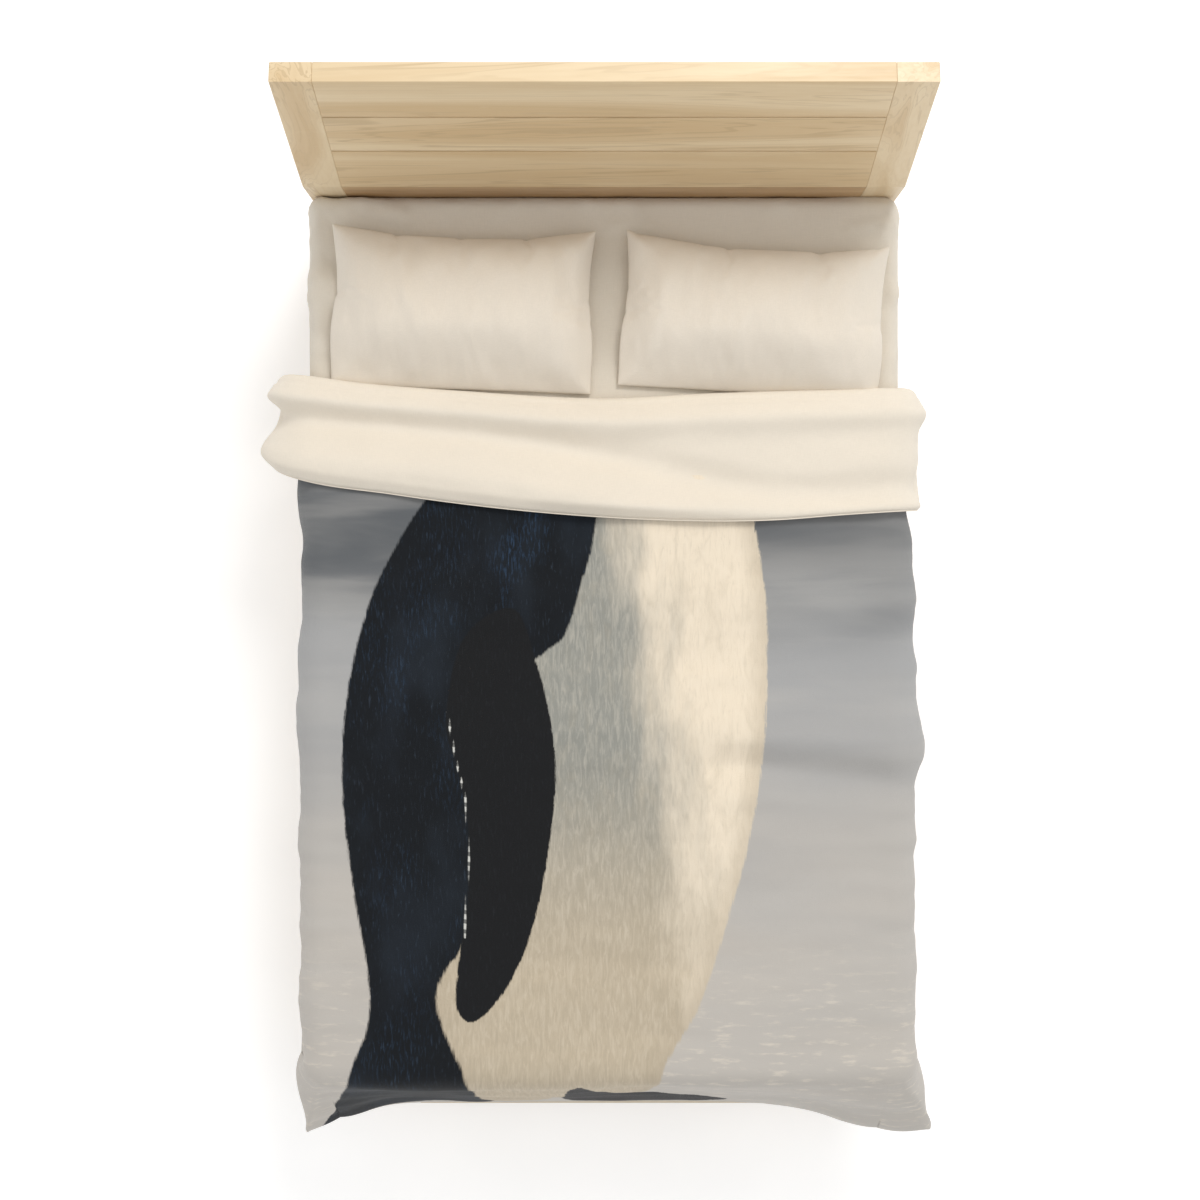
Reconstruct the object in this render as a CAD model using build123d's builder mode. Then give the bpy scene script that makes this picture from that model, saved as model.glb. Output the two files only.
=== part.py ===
from build123d import *

import os
from math import atan, cos, sin, tan

# A made bed: a panelled wooden headboard on a slatted platform frame, with a mattress,
# a fitted sheet, two pillows and a zipped duvet whose head end is folded back as a cuff.
#
# Millimetres, +Z up, floor at Z 0. The bed lies along Y with its headboard at +Y and its
# foot at -Y. X and Y are measured from the centre of the bed's outline.

# ---- driving dimensions -------------------------------------------------------------
MATTRESS_LENGTH, MATTRESS_WIDTH, MATTRESS_HEIGHT = 2032.0, 1372.0, 248.0
PLATFORM_TOP = 310.0  # top of the slats and rails
GLIDE_HEIGHT, GLIDE_RADIUS, LEG_GLIDE_RADIUS = 5.0, 20.0, 16.0

BOARD = 44.0  # thickness of the headboard
STILE_WIDTH = 89.0
HEAD_GAP = 2.0  # headboard to mattress
KNEE_Z = 660.0  # the headboard is upright below this and leans back above it
LEAN_RUN, LEAN_RISE = 117.0, 507.0
LOWER_PLANK, MIDDLE_PLANK, TOP_PLANK = 192.0, 167.0, 161.0  # share of the leaning height
BACK_BOARD_BOTTOM = 440.0
ARRIS, STILE_ARRIS = 1.2, 1.6  # chamfers on the planks' and the stiles' edges
SHADOW_GAP, GAP_DEPTH = 6.0, 9.0  # the open groove along each joint between planks
TONGUE_HEIGHT, TONGUE_THICKNESS, TONGUE_PLAY = 8.0, 12.0, 0.4
DOWEL_RADIUS, DOWEL_LENGTH = 5.0, 60.0
UPRIGHT_DOWEL_ZS, CROSS_RAIL_DOWEL_ZS = (480.0, 600.0), (215.0, 265.0)
PANEL_DOWEL_HEIGHTS = (55.0, 135.0, 235.0, 315.0, 400.0, 480.0)  # up the leaning panel

RAIL_THICKNESS, RAIL_BOTTOM, RAIL_ROUNDING = 28.0, 170.0, 2.0
POST_SIDE, POST_ROUNDING = 60.0, 4.0
SLAT_COUNT, SLAT_WIDTH, SLAT_THICKNESS, SLAT_ROUNDING = 13, 70.0, 18.0, 3.0
SLAT_PLAY, SLAT_MARGIN = 2.0, 5.0  # to the side rail, and to the ledger's end
LEDGER_WIDTH, LEDGER_HEIGHT = 30.0, 25.0
LEDGER_FOOT_GAP, LEDGER_HEAD_GAP = 80.0, 74.0  # clear of the bolts at each end
BEAM_WIDTH, BEAM_HEIGHT = 40.0, 80.0
HANGER_PLATE, HANGER_REACH, HANGER_EAR, HANGER_TOP_GAP = 2.0, 45.0, 20.0, 15.0
LEG_ROUNDING = 3.0
CENTRE_LEG_YS = (-340.0, 400.0)

BOLT_RADIUS, BOLT_HOLE_RADIUS = 4.0, 4.2
BOLT_HEAD_RADIUS, BOLT_HEAD_HEIGHT = 7.0, 5.0
COUNTERBORE_RADIUS, COUNTERBORE_DEPTH = 8.0, 6.0
BARREL_NUT_RADIUS, BARREL_NUT_LENGTH = 7.0, 22.0
NUT_DISTANCE, BOLT_BITE = 40.0, 55.0  # from the joint into the rail
LEDGER_SCREWS, SCREW_MARGIN = 6, 60.0  # on each side, and to the ledger's end
SCREW_RADIUS, SCREW_LENGTH = 2.0, 48.0
SCREW_HEAD_RADIUS, SCREW_HEAD_HEIGHT = 4.0, 2.5
SIDE_BOLT_ZS = (200.0, 275.0)
FOOT_BOLT_ZS = (184.0, 244.0)

FABRIC = 1.5  # fitted sheet
TICKING = 2.5  # mattress cover
MATTRESS_CORNER, MATTRESS_EDGE = 34.0, 30.0  # roundings in plan and along the top
SHEET_TURN_IN, SHEET_TURN_IN_CORNER = 66.0, 20.0
ELASTIC, ELASTIC_CORNER = 6.0, 14.0
BASE_FELT, COMFORT_FOAM = 12.0, 60.0  # thickness of each layer

PILLOW_LENGTH, PILLOW_DEPTH, PILLOW_HEIGHT = 604.0, 345.0, 118.0
PILLOW_SEAM_HEIGHT, PILLOW_SEAM_CORNER = 38.0, 16.0
PILLOW_BASE_SHRINK, PILLOW_BASE_CORNER = 110.0, 30.0  # smaller than the seam outline
PILLOW_CROWN_SHRINK, PILLOW_CROWN_CORNER = 190.0, 40.0
PILLOWCASE = 1.2
SHEET_TO_PILLOW = 0.3
# Side, X of centre, centre to the headboard's face, turn
PILLOWS = (("left", -326.0, 265.0, -1.7), ("right", 344.0, 282.0, -3.8))

DUVET_THICKNESS, COVER = 26.0, 1.0
FOLD_GAP = 2.0  # between the duvet and the cuff that lies on it
SHEET_TO_DUVET = 0.5
DUVET_PLAY = 8.0
DUVET_BEND = 40.0
FOLD_BACK, CUFF_WIDTH = 479.0, 275.0  # from the headboard's face; the cuff's own width
FOOT_FLARE = 108.0  # how far the foot hem stands out from the mattress's upper edge
FOOT_CORNER = 140.0  # how far the lower hem of the foot runs round each corner
SIDE_HEM_Z, FOOT_HEM_Z = 425.0, 270.0

ZIP_LENGTH, ZIP_TAPE_WIDTH, ZIP_TAPE_THICKNESS = 900.0, 22.0, 1.2
COIL_WIDTH, COIL_HEIGHT = 4.0, 2.0
STOP_LENGTH, STOP_OVERHANG = 3.0, 1.0
SLIDER_LENGTH, SLIDER_WIDTH, SLIDER_PLAY, SLIDER_FLOOR = 12.0, 9.0, 0.4, 4.0
SLIDER_FROM_END, SLIDER_ROUNDING, TAPE_TO_SLIDER = 10.0, 2.0, 0.5
EAR_PLAY, EAR_THICKNESS, EAR_HALF, EAR_BELOW_PIN = 0.4, 1.2, 2.0, 1.6
PULL_LENGTH, PULL_WIDTH, PULL_THICKNESS = 20.0, 3.2, 1.4
TAB_BELOW_PIN, PADDLE_BELOW_PIN, PADDLE_LIP, PADDLE_TIP = 1.0, 9.0, 1.0, 2.0
PIN_RADIUS, EYE_HOLE_RADIUS, EYE_RADIUS, PIN_DROP = 0.7, 0.78, 1.9, 2.9

# ---- positions that follow from them ------------------------------------------------
LEAN = atan(LEAN_RUN / LEAN_RISE)
MATTRESS_TOP = PLATFORM_TOP + FABRIC + MATTRESS_HEIGHT
SHEET_TOP = MATTRESS_TOP + FABRIC
DUVET_UNDERSIDE = SHEET_TOP + SHEET_TO_DUVET
FOOT_SLOPE = atan(FOOT_FLARE / (DUVET_UNDERSIDE - FOOT_HEM_Z))
HEM_DEPTH = DUVET_THICKNESS / cos(FOOT_SLOPE)  # the foot hem's depth along Y

# The bed's outline is centred on Y 0, so the headboard's face lies off the centre.
BACK_REACH = LEAN_RUN + BOARD * cos(LEAN)
DUVET_REACH = HEAD_GAP + MATTRESS_LENGTH + FABRIC + DUVET_PLAY
FACE_Y = (DUVET_REACH + FOOT_FLARE + HEM_DEPTH - BACK_REACH) / 2
REAR_Y = FACE_Y + BOARD
MIDDLE_TOP = LOWER_PLANK + MIDDLE_PLANK
PANEL_TOP = MIDDLE_TOP + TOP_PLANK
HALF_WIDTH = MATTRESS_WIDTH / 2
STILE_INNER_X = HALF_WIDTH - STILE_WIDTH

MATTRESS_BOTTOM = PLATFORM_TOP + FABRIC
MATTRESS_HEAD_Y = FACE_Y - HEAD_GAP
MATTRESS_FOOT_Y = MATTRESS_HEAD_Y - MATTRESS_LENGTH
MATTRESS_MIDDLE_Y = (MATTRESS_HEAD_Y + MATTRESS_FOOT_Y) / 2

POST_FACE_Y = MATTRESS_FOOT_Y + POST_SIDE
POST_INNER_X = HALF_WIDTH - POST_SIDE
RAIL_INNER_X = HALF_WIDTH - RAIL_THICKNESS
RAIL_CENTRE_X = HALF_WIDTH - RAIL_THICKNESS / 2
FOOT_RAIL_INNER_Y = MATTRESS_FOOT_Y + RAIL_THICKNESS
FOOT_RAIL_CENTRE_Y = MATTRESS_FOOT_Y + RAIL_THICKNESS / 2
SLAT_BOTTOM = PLATFORM_TOP - SLAT_THICKNESS
BEAM_BOTTOM = SLAT_BOTTOM - BEAM_HEIGHT
LEDGER_START_Y, LEDGER_END_Y = POST_FACE_Y + LEDGER_FOOT_GAP, FACE_Y - LEDGER_HEAD_GAP

DUVET_HALF_WIDTH = HALF_WIDTH + FABRIC + DUVET_PLAY
DUVET_TOP_FOOT_Y = FACE_Y - DUVET_REACH
FOOT_Y = DUVET_TOP_FOOT_Y - FOOT_FLARE - HEM_DEPTH
FOLD_CENTRE_N = DUVET_THICKNESS + FOLD_GAP / 2
FOLD_CENTRE_Y = FACE_Y - FOLD_BACK - FOLD_CENTRE_N
CUFF_HEM_Y = FACE_Y - FOLD_BACK - CUFF_WIDTH

ZIP_Y = FOOT_Y + HEM_DEPTH / 2
ZIP_TAPE_BOTTOM = FOOT_HEM_Z - ZIP_TAPE_THICKNESS
COIL_BOTTOM = ZIP_TAPE_BOTTOM - COIL_HEIGHT
CHANNEL_BOTTOM = COIL_BOTTOM - SLIDER_PLAY
SLIDER_BOTTOM = CHANNEL_BOTTOM - SLIDER_FLOOR
SLIDER_X = SLIDER_FROM_END - ZIP_LENGTH / 2
PULL_PIN_Z = SLIDER_BOTTOM - PIN_DROP

ALONG_X, ALONG_Y, ALONG_Z = (0, 90, 0), (90, 0, 0), (0, 0, 0)  # turns a cylinder's axis


# ---- shared shapes ------------------------------------------------------------------
def save(name, piece):
    """Labels the finished piece and writes it as its own STEP file."""
    piece.part.label = name
    export_step(piece.part, f"parts/{name}.step")


def block(x, y, z, mode=Mode.ADD):
    """A box between two X, two Y and two Z values, in the part being built."""
    centre = ((x[0] + x[1]) / 2, (y[0] + y[1]) / 2, (z[0] + z[1]) / 2)
    with Locations(centre):
        Box(x[1] - x[0], y[1] - y[0], z[1] - z[0], mode=mode)


def rod(centre, turn, radius, length, mode=Mode.ADD):
    """A cylinder about its centre, in the part being built."""
    with Locations(Location(centre, turn)):
        Cylinder(radius, length, mode=mode)


def side_outline(points, x):
    """A closed outline in Y and Z, on the plane at the given X."""
    with BuildSketch(Plane.YZ.offset(x)) as outline:
        with BuildLine():
            Polyline(*points, close=True)
        make_face()
    return outline.sketch


def on_panel(height, depth):
    """Y and Z of a point of the leaning panel, up its face and in from its face."""
    y = FACE_Y + height * sin(LEAN) + depth * cos(LEAN)
    z = KNEE_Z + height * cos(LEAN) - depth * sin(LEAN)
    return (y, z)


# ---- headboard ----------------------------------------------------------------------
KNEE_FRONT = (FACE_Y, KNEE_Z)
KNEE_REAR = (REAR_Y, KNEE_Z - BOARD * tan(LEAN / 2))
UPRIGHT_DOWELS = [(FACE_Y + BOARD / 2, z) for z in UPRIGHT_DOWEL_ZS]
CROSS_RAIL_DOWELS = [(FACE_Y + BOARD / 2, z) for z in CROSS_RAIL_DOWEL_ZS]
PANEL_DOWELS = [on_panel(height, BOARD / 2) for height in PANEL_DOWEL_HEIGHTS]


def cut_dowel_holes(places):
    for y, z in places:
        for side in (-1, 1):
            rod((side * STILE_INNER_X, y, z), ALONG_X, DOWEL_RADIUS, DOWEL_LENGTH, Mode.SUBTRACT)


def build_stile(name, side):
    """A stile in one piece from the floor to the top, bent back at the knee."""
    low_x = min(side * HALF_WIDTH, side * STILE_INNER_X)
    outline = [
        (FACE_Y, GLIDE_HEIGHT),
        KNEE_FRONT,
        on_panel(PANEL_TOP, 0),
        on_panel(PANEL_TOP, BOARD),
        KNEE_REAR,
        (REAR_Y, GLIDE_HEIGHT),
    ]
    with BuildPart() as stile:
        extrude(side_outline(outline, low_x), amount=STILE_WIDTH)
        chamfer(stile.faces().filter_by(Axis.X).edges(), STILE_ARRIS)
        cut_dowel_holes(UPRIGHT_DOWELS + CROSS_RAIL_DOWELS + PANEL_DOWELS)
        for z in SIDE_BOLT_ZS:
            bolt_hole((side * RAIL_CENTRE_X, FACE_Y, z), -1, BOARD, ALONG_Y, 1)
    save(name, stile)


def plank_outline(low, high, grooved, tongued):
    """Side outline of a leaning plank, with a shadow gap above it if another plank is there."""
    inner = BOARD / 2 - TONGUE_THICKNESS / 2
    outer = BOARD / 2 + TONGUE_THICKNESS / 2
    front_top = high - SHADOW_GAP if tongued else high
    points = [on_panel(low, 0), on_panel(front_top - ARRIS, 0), on_panel(front_top, ARRIS)]
    if tongued:
        points += [on_panel(front_top, GAP_DEPTH), on_panel(high, GAP_DEPTH)]
        tip = high + TONGUE_HEIGHT - TONGUE_PLAY
        points += [on_panel(high, inner + TONGUE_PLAY), on_panel(tip, inner + TONGUE_PLAY)]
        points += [on_panel(tip, outer - TONGUE_PLAY), on_panel(high, outer - TONGUE_PLAY)]
    points += [on_panel(high, BOARD)]
    if grooved:
        root = low + TONGUE_HEIGHT
        points += [on_panel(low, BOARD), on_panel(low, outer), on_panel(root, outer)]
        points += [on_panel(root, inner), on_panel(low, inner)]
    else:
        points[0] = KNEE_FRONT
        points += [KNEE_REAR]
    return points


def build_board(name, outline, dowels):
    """A board that spans between the stiles."""
    with BuildPart() as board:
        extrude(side_outline(outline, -STILE_INNER_X), amount=2 * STILE_INNER_X)
        cut_dowel_holes(dowels)
    save(name, board)


def build_headboard():
    build_stile("headboard_stile_left", -1)
    build_stile("headboard_stile_right", 1)
    lower = plank_outline(0.0, LOWER_PLANK, False, True)
    middle = plank_outline(LOWER_PLANK, MIDDLE_TOP, True, True)
    top = plank_outline(MIDDLE_TOP, PANEL_TOP, True, False)
    build_board("headboard_plank_lower", lower, PANEL_DOWELS[:2])
    build_board("headboard_plank_middle", middle, PANEL_DOWELS[2:4])
    build_board("headboard_plank_top", top, PANEL_DOWELS[4:])
    upright = [(FACE_Y, BACK_BOARD_BOTTOM), KNEE_FRONT, KNEE_REAR, (REAR_Y, BACK_BOARD_BOTTOM)]
    build_board("headboard_back_board", upright, UPRIGHT_DOWELS)
    rail = [(FACE_Y, RAIL_BOTTOM), (FACE_Y, PLATFORM_TOP), (REAR_Y, PLATFORM_TOP)]
    build_board("head_cross_rail", rail + [(REAR_Y, RAIL_BOTTOM)], CROSS_RAIL_DOWELS)
    with BuildPart() as dowels:
        for y, z in UPRIGHT_DOWELS + CROSS_RAIL_DOWELS + PANEL_DOWELS:
            for side in (-1, 1):
                rod((side * STILE_INNER_X, y, z), ALONG_X, DOWEL_RADIUS, DOWEL_LENGTH)
    save("headboard_dowels", dowels)


# ---- bed bolts ----------------------------------------------------------------------
def side_bolt_places():
    """Side, Y of the joint, way into the rail, wood that the bolt passes, and Z."""
    places = []
    for side in (-1, 1):
        for z in SIDE_BOLT_ZS:
            places.append((side, FACE_Y, -1, BOARD, z))
            places.append((side, POST_FACE_Y, 1, POST_SIDE, z))
    return places


def stepped_rods(joint, into, turn, axis, steps, mode):
    """Rods end to end on one axis; each step is a radius and two distances into the rail."""
    for radius, low, high in steps:
        centre = list(joint)
        centre[axis] += into * (low + high) / 2
        rod(tuple(centre), turn, radius, high - low, mode)


def bolt_hole(joint, into, wood, turn, axis):
    """The clearance hole and counterbore for a bed bolt, in a stile or post."""
    steps = (
        (BOLT_HOLE_RADIUS, -wood, 0.0),
        (COUNTERBORE_RADIUS, -wood, -wood + COUNTERBORE_DEPTH),
    )
    stepped_rods(joint, into, turn, axis, steps, Mode.SUBTRACT)


def bed_bolt(joint, into, wood, turn, axis):
    """A bolt whose head sits in its counterbore and whose shank runs into the rail."""
    head_base = COUNTERBORE_DEPTH - wood
    steps = (
        (BOLT_RADIUS, head_base, BOLT_BITE),
        (BOLT_HEAD_RADIUS, head_base - BOLT_HEAD_HEIGHT, head_base),
    )
    stepped_rods(joint, into, turn, axis, steps, Mode.ADD)


def build_fasteners():
    nut_x = RAIL_INNER_X + BARREL_NUT_LENGTH / 2
    nut_y = FOOT_RAIL_INNER_Y - BARREL_NUT_LENGTH / 2
    shank = 4 * BARREL_NUT_RADIUS
    with BuildPart() as bolts:
        for side, joint_y, into, wood, z in side_bolt_places():
            bed_bolt((side * RAIL_CENTRE_X, joint_y, z), into, wood, ALONG_Y, 1)
        for side in (-1, 1):
            for z in FOOT_BOLT_ZS:
                joint = (side * POST_INNER_X, FOOT_RAIL_CENTRE_Y, z)
                bed_bolt(joint, -side, POST_SIDE, ALONG_X, 0)
    save("bed_bolts", bolts)
    with BuildPart() as nuts:
        for side, joint_y, into, _, z in side_bolt_places():
            y = joint_y + into * NUT_DISTANCE
            rod((side * nut_x, y, z), ALONG_X, BARREL_NUT_RADIUS, BARREL_NUT_LENGTH)
            rod((side * RAIL_CENTRE_X, y, z), ALONG_Y, BOLT_RADIUS, shank, Mode.SUBTRACT)
        for side in (-1, 1):
            for z in FOOT_BOLT_ZS:
                x = side * (POST_INNER_X - NUT_DISTANCE)
                rod((x, nut_y, z), ALONG_Y, BARREL_NUT_RADIUS, BARREL_NUT_LENGTH)
                rod((x, FOOT_RAIL_CENTRE_Y, z), ALONG_X, BOLT_RADIUS, shank, Mode.SUBTRACT)
    save("barrel_nuts", nuts)
    with BuildPart() as screws:
        ledger_screws(-1, Mode.ADD)
        ledger_screws(1, Mode.ADD)
    save("ledger_screws", screws)


# ---- platform frame -----------------------------------------------------------------
def build_side_rail(name, side):
    x_range = sorted((side * RAIL_INNER_X, side * HALF_WIDTH))
    nut_x = side * (RAIL_INNER_X + BARREL_NUT_LENGTH / 2)
    with BuildPart() as rail:
        block(x_range, (POST_FACE_Y, FACE_Y), (RAIL_BOTTOM, PLATFORM_TOP))
        fillet(rail.edges().filter_by(Axis.Y).group_by(Axis.Z)[-1], RAIL_ROUNDING)
        for bolt_side, joint_y, into, _, z in side_bolt_places():
            if bolt_side != side:
                continue
            shank = (side * RAIL_CENTRE_X, joint_y + into * BOLT_BITE / 2, z)
            rod(shank, ALONG_Y, BOLT_HOLE_RADIUS, BOLT_BITE + 1, Mode.SUBTRACT)
            nut = (nut_x, joint_y + into * NUT_DISTANCE, z)
            rod(nut, ALONG_X, BARREL_NUT_RADIUS, BARREL_NUT_LENGTH, Mode.SUBTRACT)
        ledger_screws(side, Mode.SUBTRACT)
    save(name, rail)


def build_foot_rail():
    nut_y = FOOT_RAIL_INNER_Y - BARREL_NUT_LENGTH / 2
    span, depth = (-POST_INNER_X, POST_INNER_X), (MATTRESS_FOOT_Y, FOOT_RAIL_INNER_Y)
    with BuildPart() as rail:
        block(span, depth, (RAIL_BOTTOM, PLATFORM_TOP))
        fillet(rail.edges().filter_by(Axis.X).group_by(Axis.Z)[-1], RAIL_ROUNDING)
        for side in (-1, 1):
            for z in FOOT_BOLT_ZS:
                shank = (side * (POST_INNER_X - BOLT_BITE / 2), FOOT_RAIL_CENTRE_Y, z)
                rod(shank, ALONG_X, BOLT_HOLE_RADIUS, BOLT_BITE + 1, Mode.SUBTRACT)
                nut = (side * (POST_INNER_X - NUT_DISTANCE), nut_y, z)
                rod(nut, ALONG_Y, BARREL_NUT_RADIUS, BARREL_NUT_LENGTH, Mode.SUBTRACT)
    save("foot_rail", rail)


def build_post(name, side):
    x_range = sorted((side * POST_INNER_X, side * HALF_WIDTH))
    with BuildPart() as post:
        block(x_range, (MATTRESS_FOOT_Y, POST_FACE_Y), (GLIDE_HEIGHT, PLATFORM_TOP))
        outer_edge = post.edges().filter_by(Axis.Z).sort_by(Axis.Y)[:2]
        fillet(outer_edge.sort_by(Axis.X)[0 if side < 0 else -1], POST_ROUNDING)
        for z in SIDE_BOLT_ZS:
            bolt_hole((side * RAIL_CENTRE_X, POST_FACE_Y, z), 1, POST_SIDE, ALONG_Y, 1)
        for z in FOOT_BOLT_ZS:
            joint = (side * POST_INNER_X, FOOT_RAIL_CENTRE_Y, z)
            bolt_hole(joint, -side, POST_SIDE, ALONG_X, 0)
    save(name, post)


def ledger_screws(side, mode):
    """The screws, or the holes for them, that hold a ledger to its side rail."""
    z = SLAT_BOTTOM - LEDGER_HEIGHT / 2
    head_x = side * (RAIL_INNER_X - LEDGER_WIDTH)
    for number in range(LEDGER_SCREWS):
        step = (LEDGER_END_Y - LEDGER_START_Y - 2 * SCREW_MARGIN) / (LEDGER_SCREWS - 1)
        y = LEDGER_START_Y + SCREW_MARGIN + number * step
        middle = (head_x + side * SCREW_LENGTH / 2, y, z)
        rod(middle, ALONG_X, SCREW_RADIUS, SCREW_LENGTH, mode)
        if mode == Mode.ADD:
            head = (head_x - side * SCREW_HEAD_HEIGHT / 2, y, z)
            rod(head, ALONG_X, SCREW_HEAD_RADIUS, SCREW_HEAD_HEIGHT)


def build_ledger(name, side):
    x_range = sorted((side * (RAIL_INNER_X - LEDGER_WIDTH), side * RAIL_INNER_X))
    with BuildPart() as ledger:
        block(x_range, (LEDGER_START_Y, LEDGER_END_Y), (SLAT_BOTTOM - LEDGER_HEIGHT, SLAT_BOTTOM))
        ledger_screws(side, Mode.SUBTRACT)
    save(name, ledger)


def build_slats():
    first = LEDGER_START_Y + SLAT_WIDTH / 2 + SLAT_MARGIN
    last = LEDGER_END_Y - SLAT_WIDTH / 2 - SLAT_MARGIN
    reach = RAIL_INNER_X - SLAT_PLAY
    for number in range(SLAT_COUNT):
        y = first + (last - first) * number / (SLAT_COUNT - 1)
        with BuildPart() as slat:
            y_range = (y - SLAT_WIDTH / 2, y + SLAT_WIDTH / 2)
            block((-reach, reach), y_range, (SLAT_BOTTOM, PLATFORM_TOP))
            fillet(slat.edges().filter_by(Axis.X).group_by(Axis.Z)[-1], SLAT_ROUNDING)
        save(f"slat_{number + 1:02d}", slat)


def build_hanger(name, face, into):
    """A folded steel stirrup that holds one end of the centre beam."""
    half = BEAM_WIDTH / 2
    outer, top = half + HANGER_PLATE, SLAT_BOTTOM - HANGER_TOP_GAP
    floor_z = (BEAM_BOTTOM - HANGER_PLATE, BEAM_BOTTOM)
    reach_y = sorted((face, face + into * HANGER_REACH))
    ear_y = sorted((face, face + into * HANGER_PLATE))
    with BuildPart() as hanger:
        block((-outer, outer), reach_y, floor_z)
        for side in (-1, 1):
            block(sorted((side * half, side * outer)), reach_y, (BEAM_BOTTOM, top))
            block(sorted((side * outer, side * (outer + HANGER_EAR))), ear_y, (floor_z[0], top))
    save(name, hanger)


def build_centre_support():
    half = BEAM_WIDTH / 2
    with BuildPart() as beam:
        block((-half, half), (FOOT_RAIL_INNER_Y, FACE_Y), (BEAM_BOTTOM, SLAT_BOTTOM))
    save("centre_beam", beam)
    build_hanger("beam_hanger_foot", FOOT_RAIL_INNER_Y, 1)
    build_hanger("beam_hanger_head", FACE_Y, -1)
    for number, y in enumerate(CENTRE_LEG_YS, start=1):
        with BuildPart() as leg:
            block((-half, half), (y - half, y + half), (GLIDE_HEIGHT, BEAM_BOTTOM))
            fillet(leg.edges().filter_by(Axis.Z), LEG_ROUNDING)
        save(f"centre_leg_{number}", leg)


def build_glides():
    """Felt discs under every leg: the faces that stand on the floor."""
    middle = GLIDE_HEIGHT / 2
    post = (HALF_WIDTH - POST_SIDE / 2, MATTRESS_FOOT_Y + POST_SIDE / 2)
    stile = (HALF_WIDTH - STILE_WIDTH / 2, FACE_Y + BOARD / 2)
    with BuildPart() as glides:
        for x, y in (post, stile):
            for side in (-1, 1):
                rod((side * x, y, middle), ALONG_Z, GLIDE_RADIUS, GLIDE_HEIGHT)
        for y in CENTRE_LEG_YS:
            rod((0, y, middle), ALONG_Z, LEG_GLIDE_RADIUS, GLIDE_HEIGHT)
    save("floor_glides", glides)


# ---- mattress and fitted sheet ------------------------------------------------------
def mattress_block(margin, bottom, top, corner, edge=0.0):
    """A round-cornered block set in from the mattress's outline by a margin."""
    with BuildPart() as shape:
        with BuildSketch(Plane.XY.offset(bottom)):
            with Locations((0, MATTRESS_MIDDLE_Y)):
                width, length = MATTRESS_WIDTH - 2 * margin, MATTRESS_LENGTH - 2 * margin
                RectangleRounded(width, length, corner)
        extrude(amount=top - bottom)
        if edge:
            fillet(shape.edges().group_by(Axis.Z)[-1], edge)
    return shape.part


def build_mattress():
    corner, edge = MATTRESS_CORNER - TICKING, MATTRESS_EDGE - TICKING
    floor, foam_top = MATTRESS_BOTTOM + TICKING, MATTRESS_TOP - TICKING
    felt_top, springs_top = floor + BASE_FELT, foam_top - COMFORT_FOAM
    outside = mattress_block(0, MATTRESS_BOTTOM, MATTRESS_TOP, MATTRESS_CORNER, MATTRESS_EDGE)
    inside = mattress_block(TICKING, floor, foam_top, corner, edge)
    with BuildPart() as cover:
        add(outside)
        add(inside, mode=Mode.SUBTRACT)
    save("mattress_cover", cover)
    layers = (
        ("mattress_base_felt", mattress_block(TICKING, floor, felt_top, corner)),
        ("mattress_spring_unit", mattress_block(TICKING, felt_top, springs_top, corner)),
        ("mattress_comfort_foam", mattress_block(TICKING, springs_top, foam_top, corner, edge)),
    )
    for name, shape in layers:
        with BuildPart() as layer:
            add(shape)
        save(name, layer)


def build_fitted_sheet():
    corner, edge = MATTRESS_CORNER + FABRIC, MATTRESS_EDGE + FABRIC
    outside = mattress_block(-FABRIC, PLATFORM_TOP, SHEET_TOP, corner, edge)
    inside = mattress_block(0, MATTRESS_BOTTOM, MATTRESS_TOP, MATTRESS_CORNER, MATTRESS_EDGE)
    under = mattress_block(SHEET_TURN_IN, PLATFORM_TOP, MATTRESS_BOTTOM, SHEET_TURN_IN_CORNER)
    inner = SHEET_TURN_IN + ELASTIC
    middle = mattress_block(inner, PLATFORM_TOP, MATTRESS_BOTTOM, ELASTIC_CORNER)
    with BuildPart() as sheet:
        add(outside)
        add(inside, mode=Mode.SUBTRACT)
        add(under, mode=Mode.SUBTRACT)
    save("fitted_sheet", sheet)
    with BuildPart() as band:
        add(under)
        add(middle, mode=Mode.SUBTRACT)
    save("fitted_sheet_elastic", band)


# ---- pillows ------------------------------------------------------------------------
def pillow_shape(x, back, turn, inset):
    """A cushion lofted from its base through the seam line to its crown."""
    base = SHEET_TOP + SHEET_TO_PILLOW
    seam = base + PILLOW_SEAM_HEIGHT
    crown = base + PILLOW_HEIGHT - inset
    place = Plane((x, FACE_Y - back, 0), x_dir=(1, 0, 0), z_dir=(0, 0, 1)).rotated((0, 0, turn))
    sections = (
        (base + inset, PILLOW_BASE_SHRINK, PILLOW_BASE_CORNER),
        (seam, 0.0, PILLOW_SEAM_CORNER),
        (crown, PILLOW_CROWN_SHRINK, PILLOW_CROWN_CORNER),
    )
    with BuildPart() as cushion:
        for low, high in (sections[:2], sections[1:]):
            for height, shrink, corner in (low, high):
                with BuildSketch(place.offset(height)):
                    width, depth = PILLOW_LENGTH - shrink, PILLOW_DEPTH - shrink
                    RectangleRounded(width - 2 * inset, depth - 2 * inset, corner)
            loft(ruled=True)
    return cushion.part


def build_pillows():
    for side, x, back, turn in PILLOWS:
        outside = pillow_shape(x, back, turn, 0.0)
        inside = pillow_shape(x, back, turn, PILLOWCASE)
        with BuildPart() as case:
            add(outside)
            add(inside, mode=Mode.SUBTRACT)
        save(f"pillowcase_{side}", case)
        with BuildPart() as filling:
            add(inside)
        save(f"pillow_filling_{side}", filling)


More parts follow.
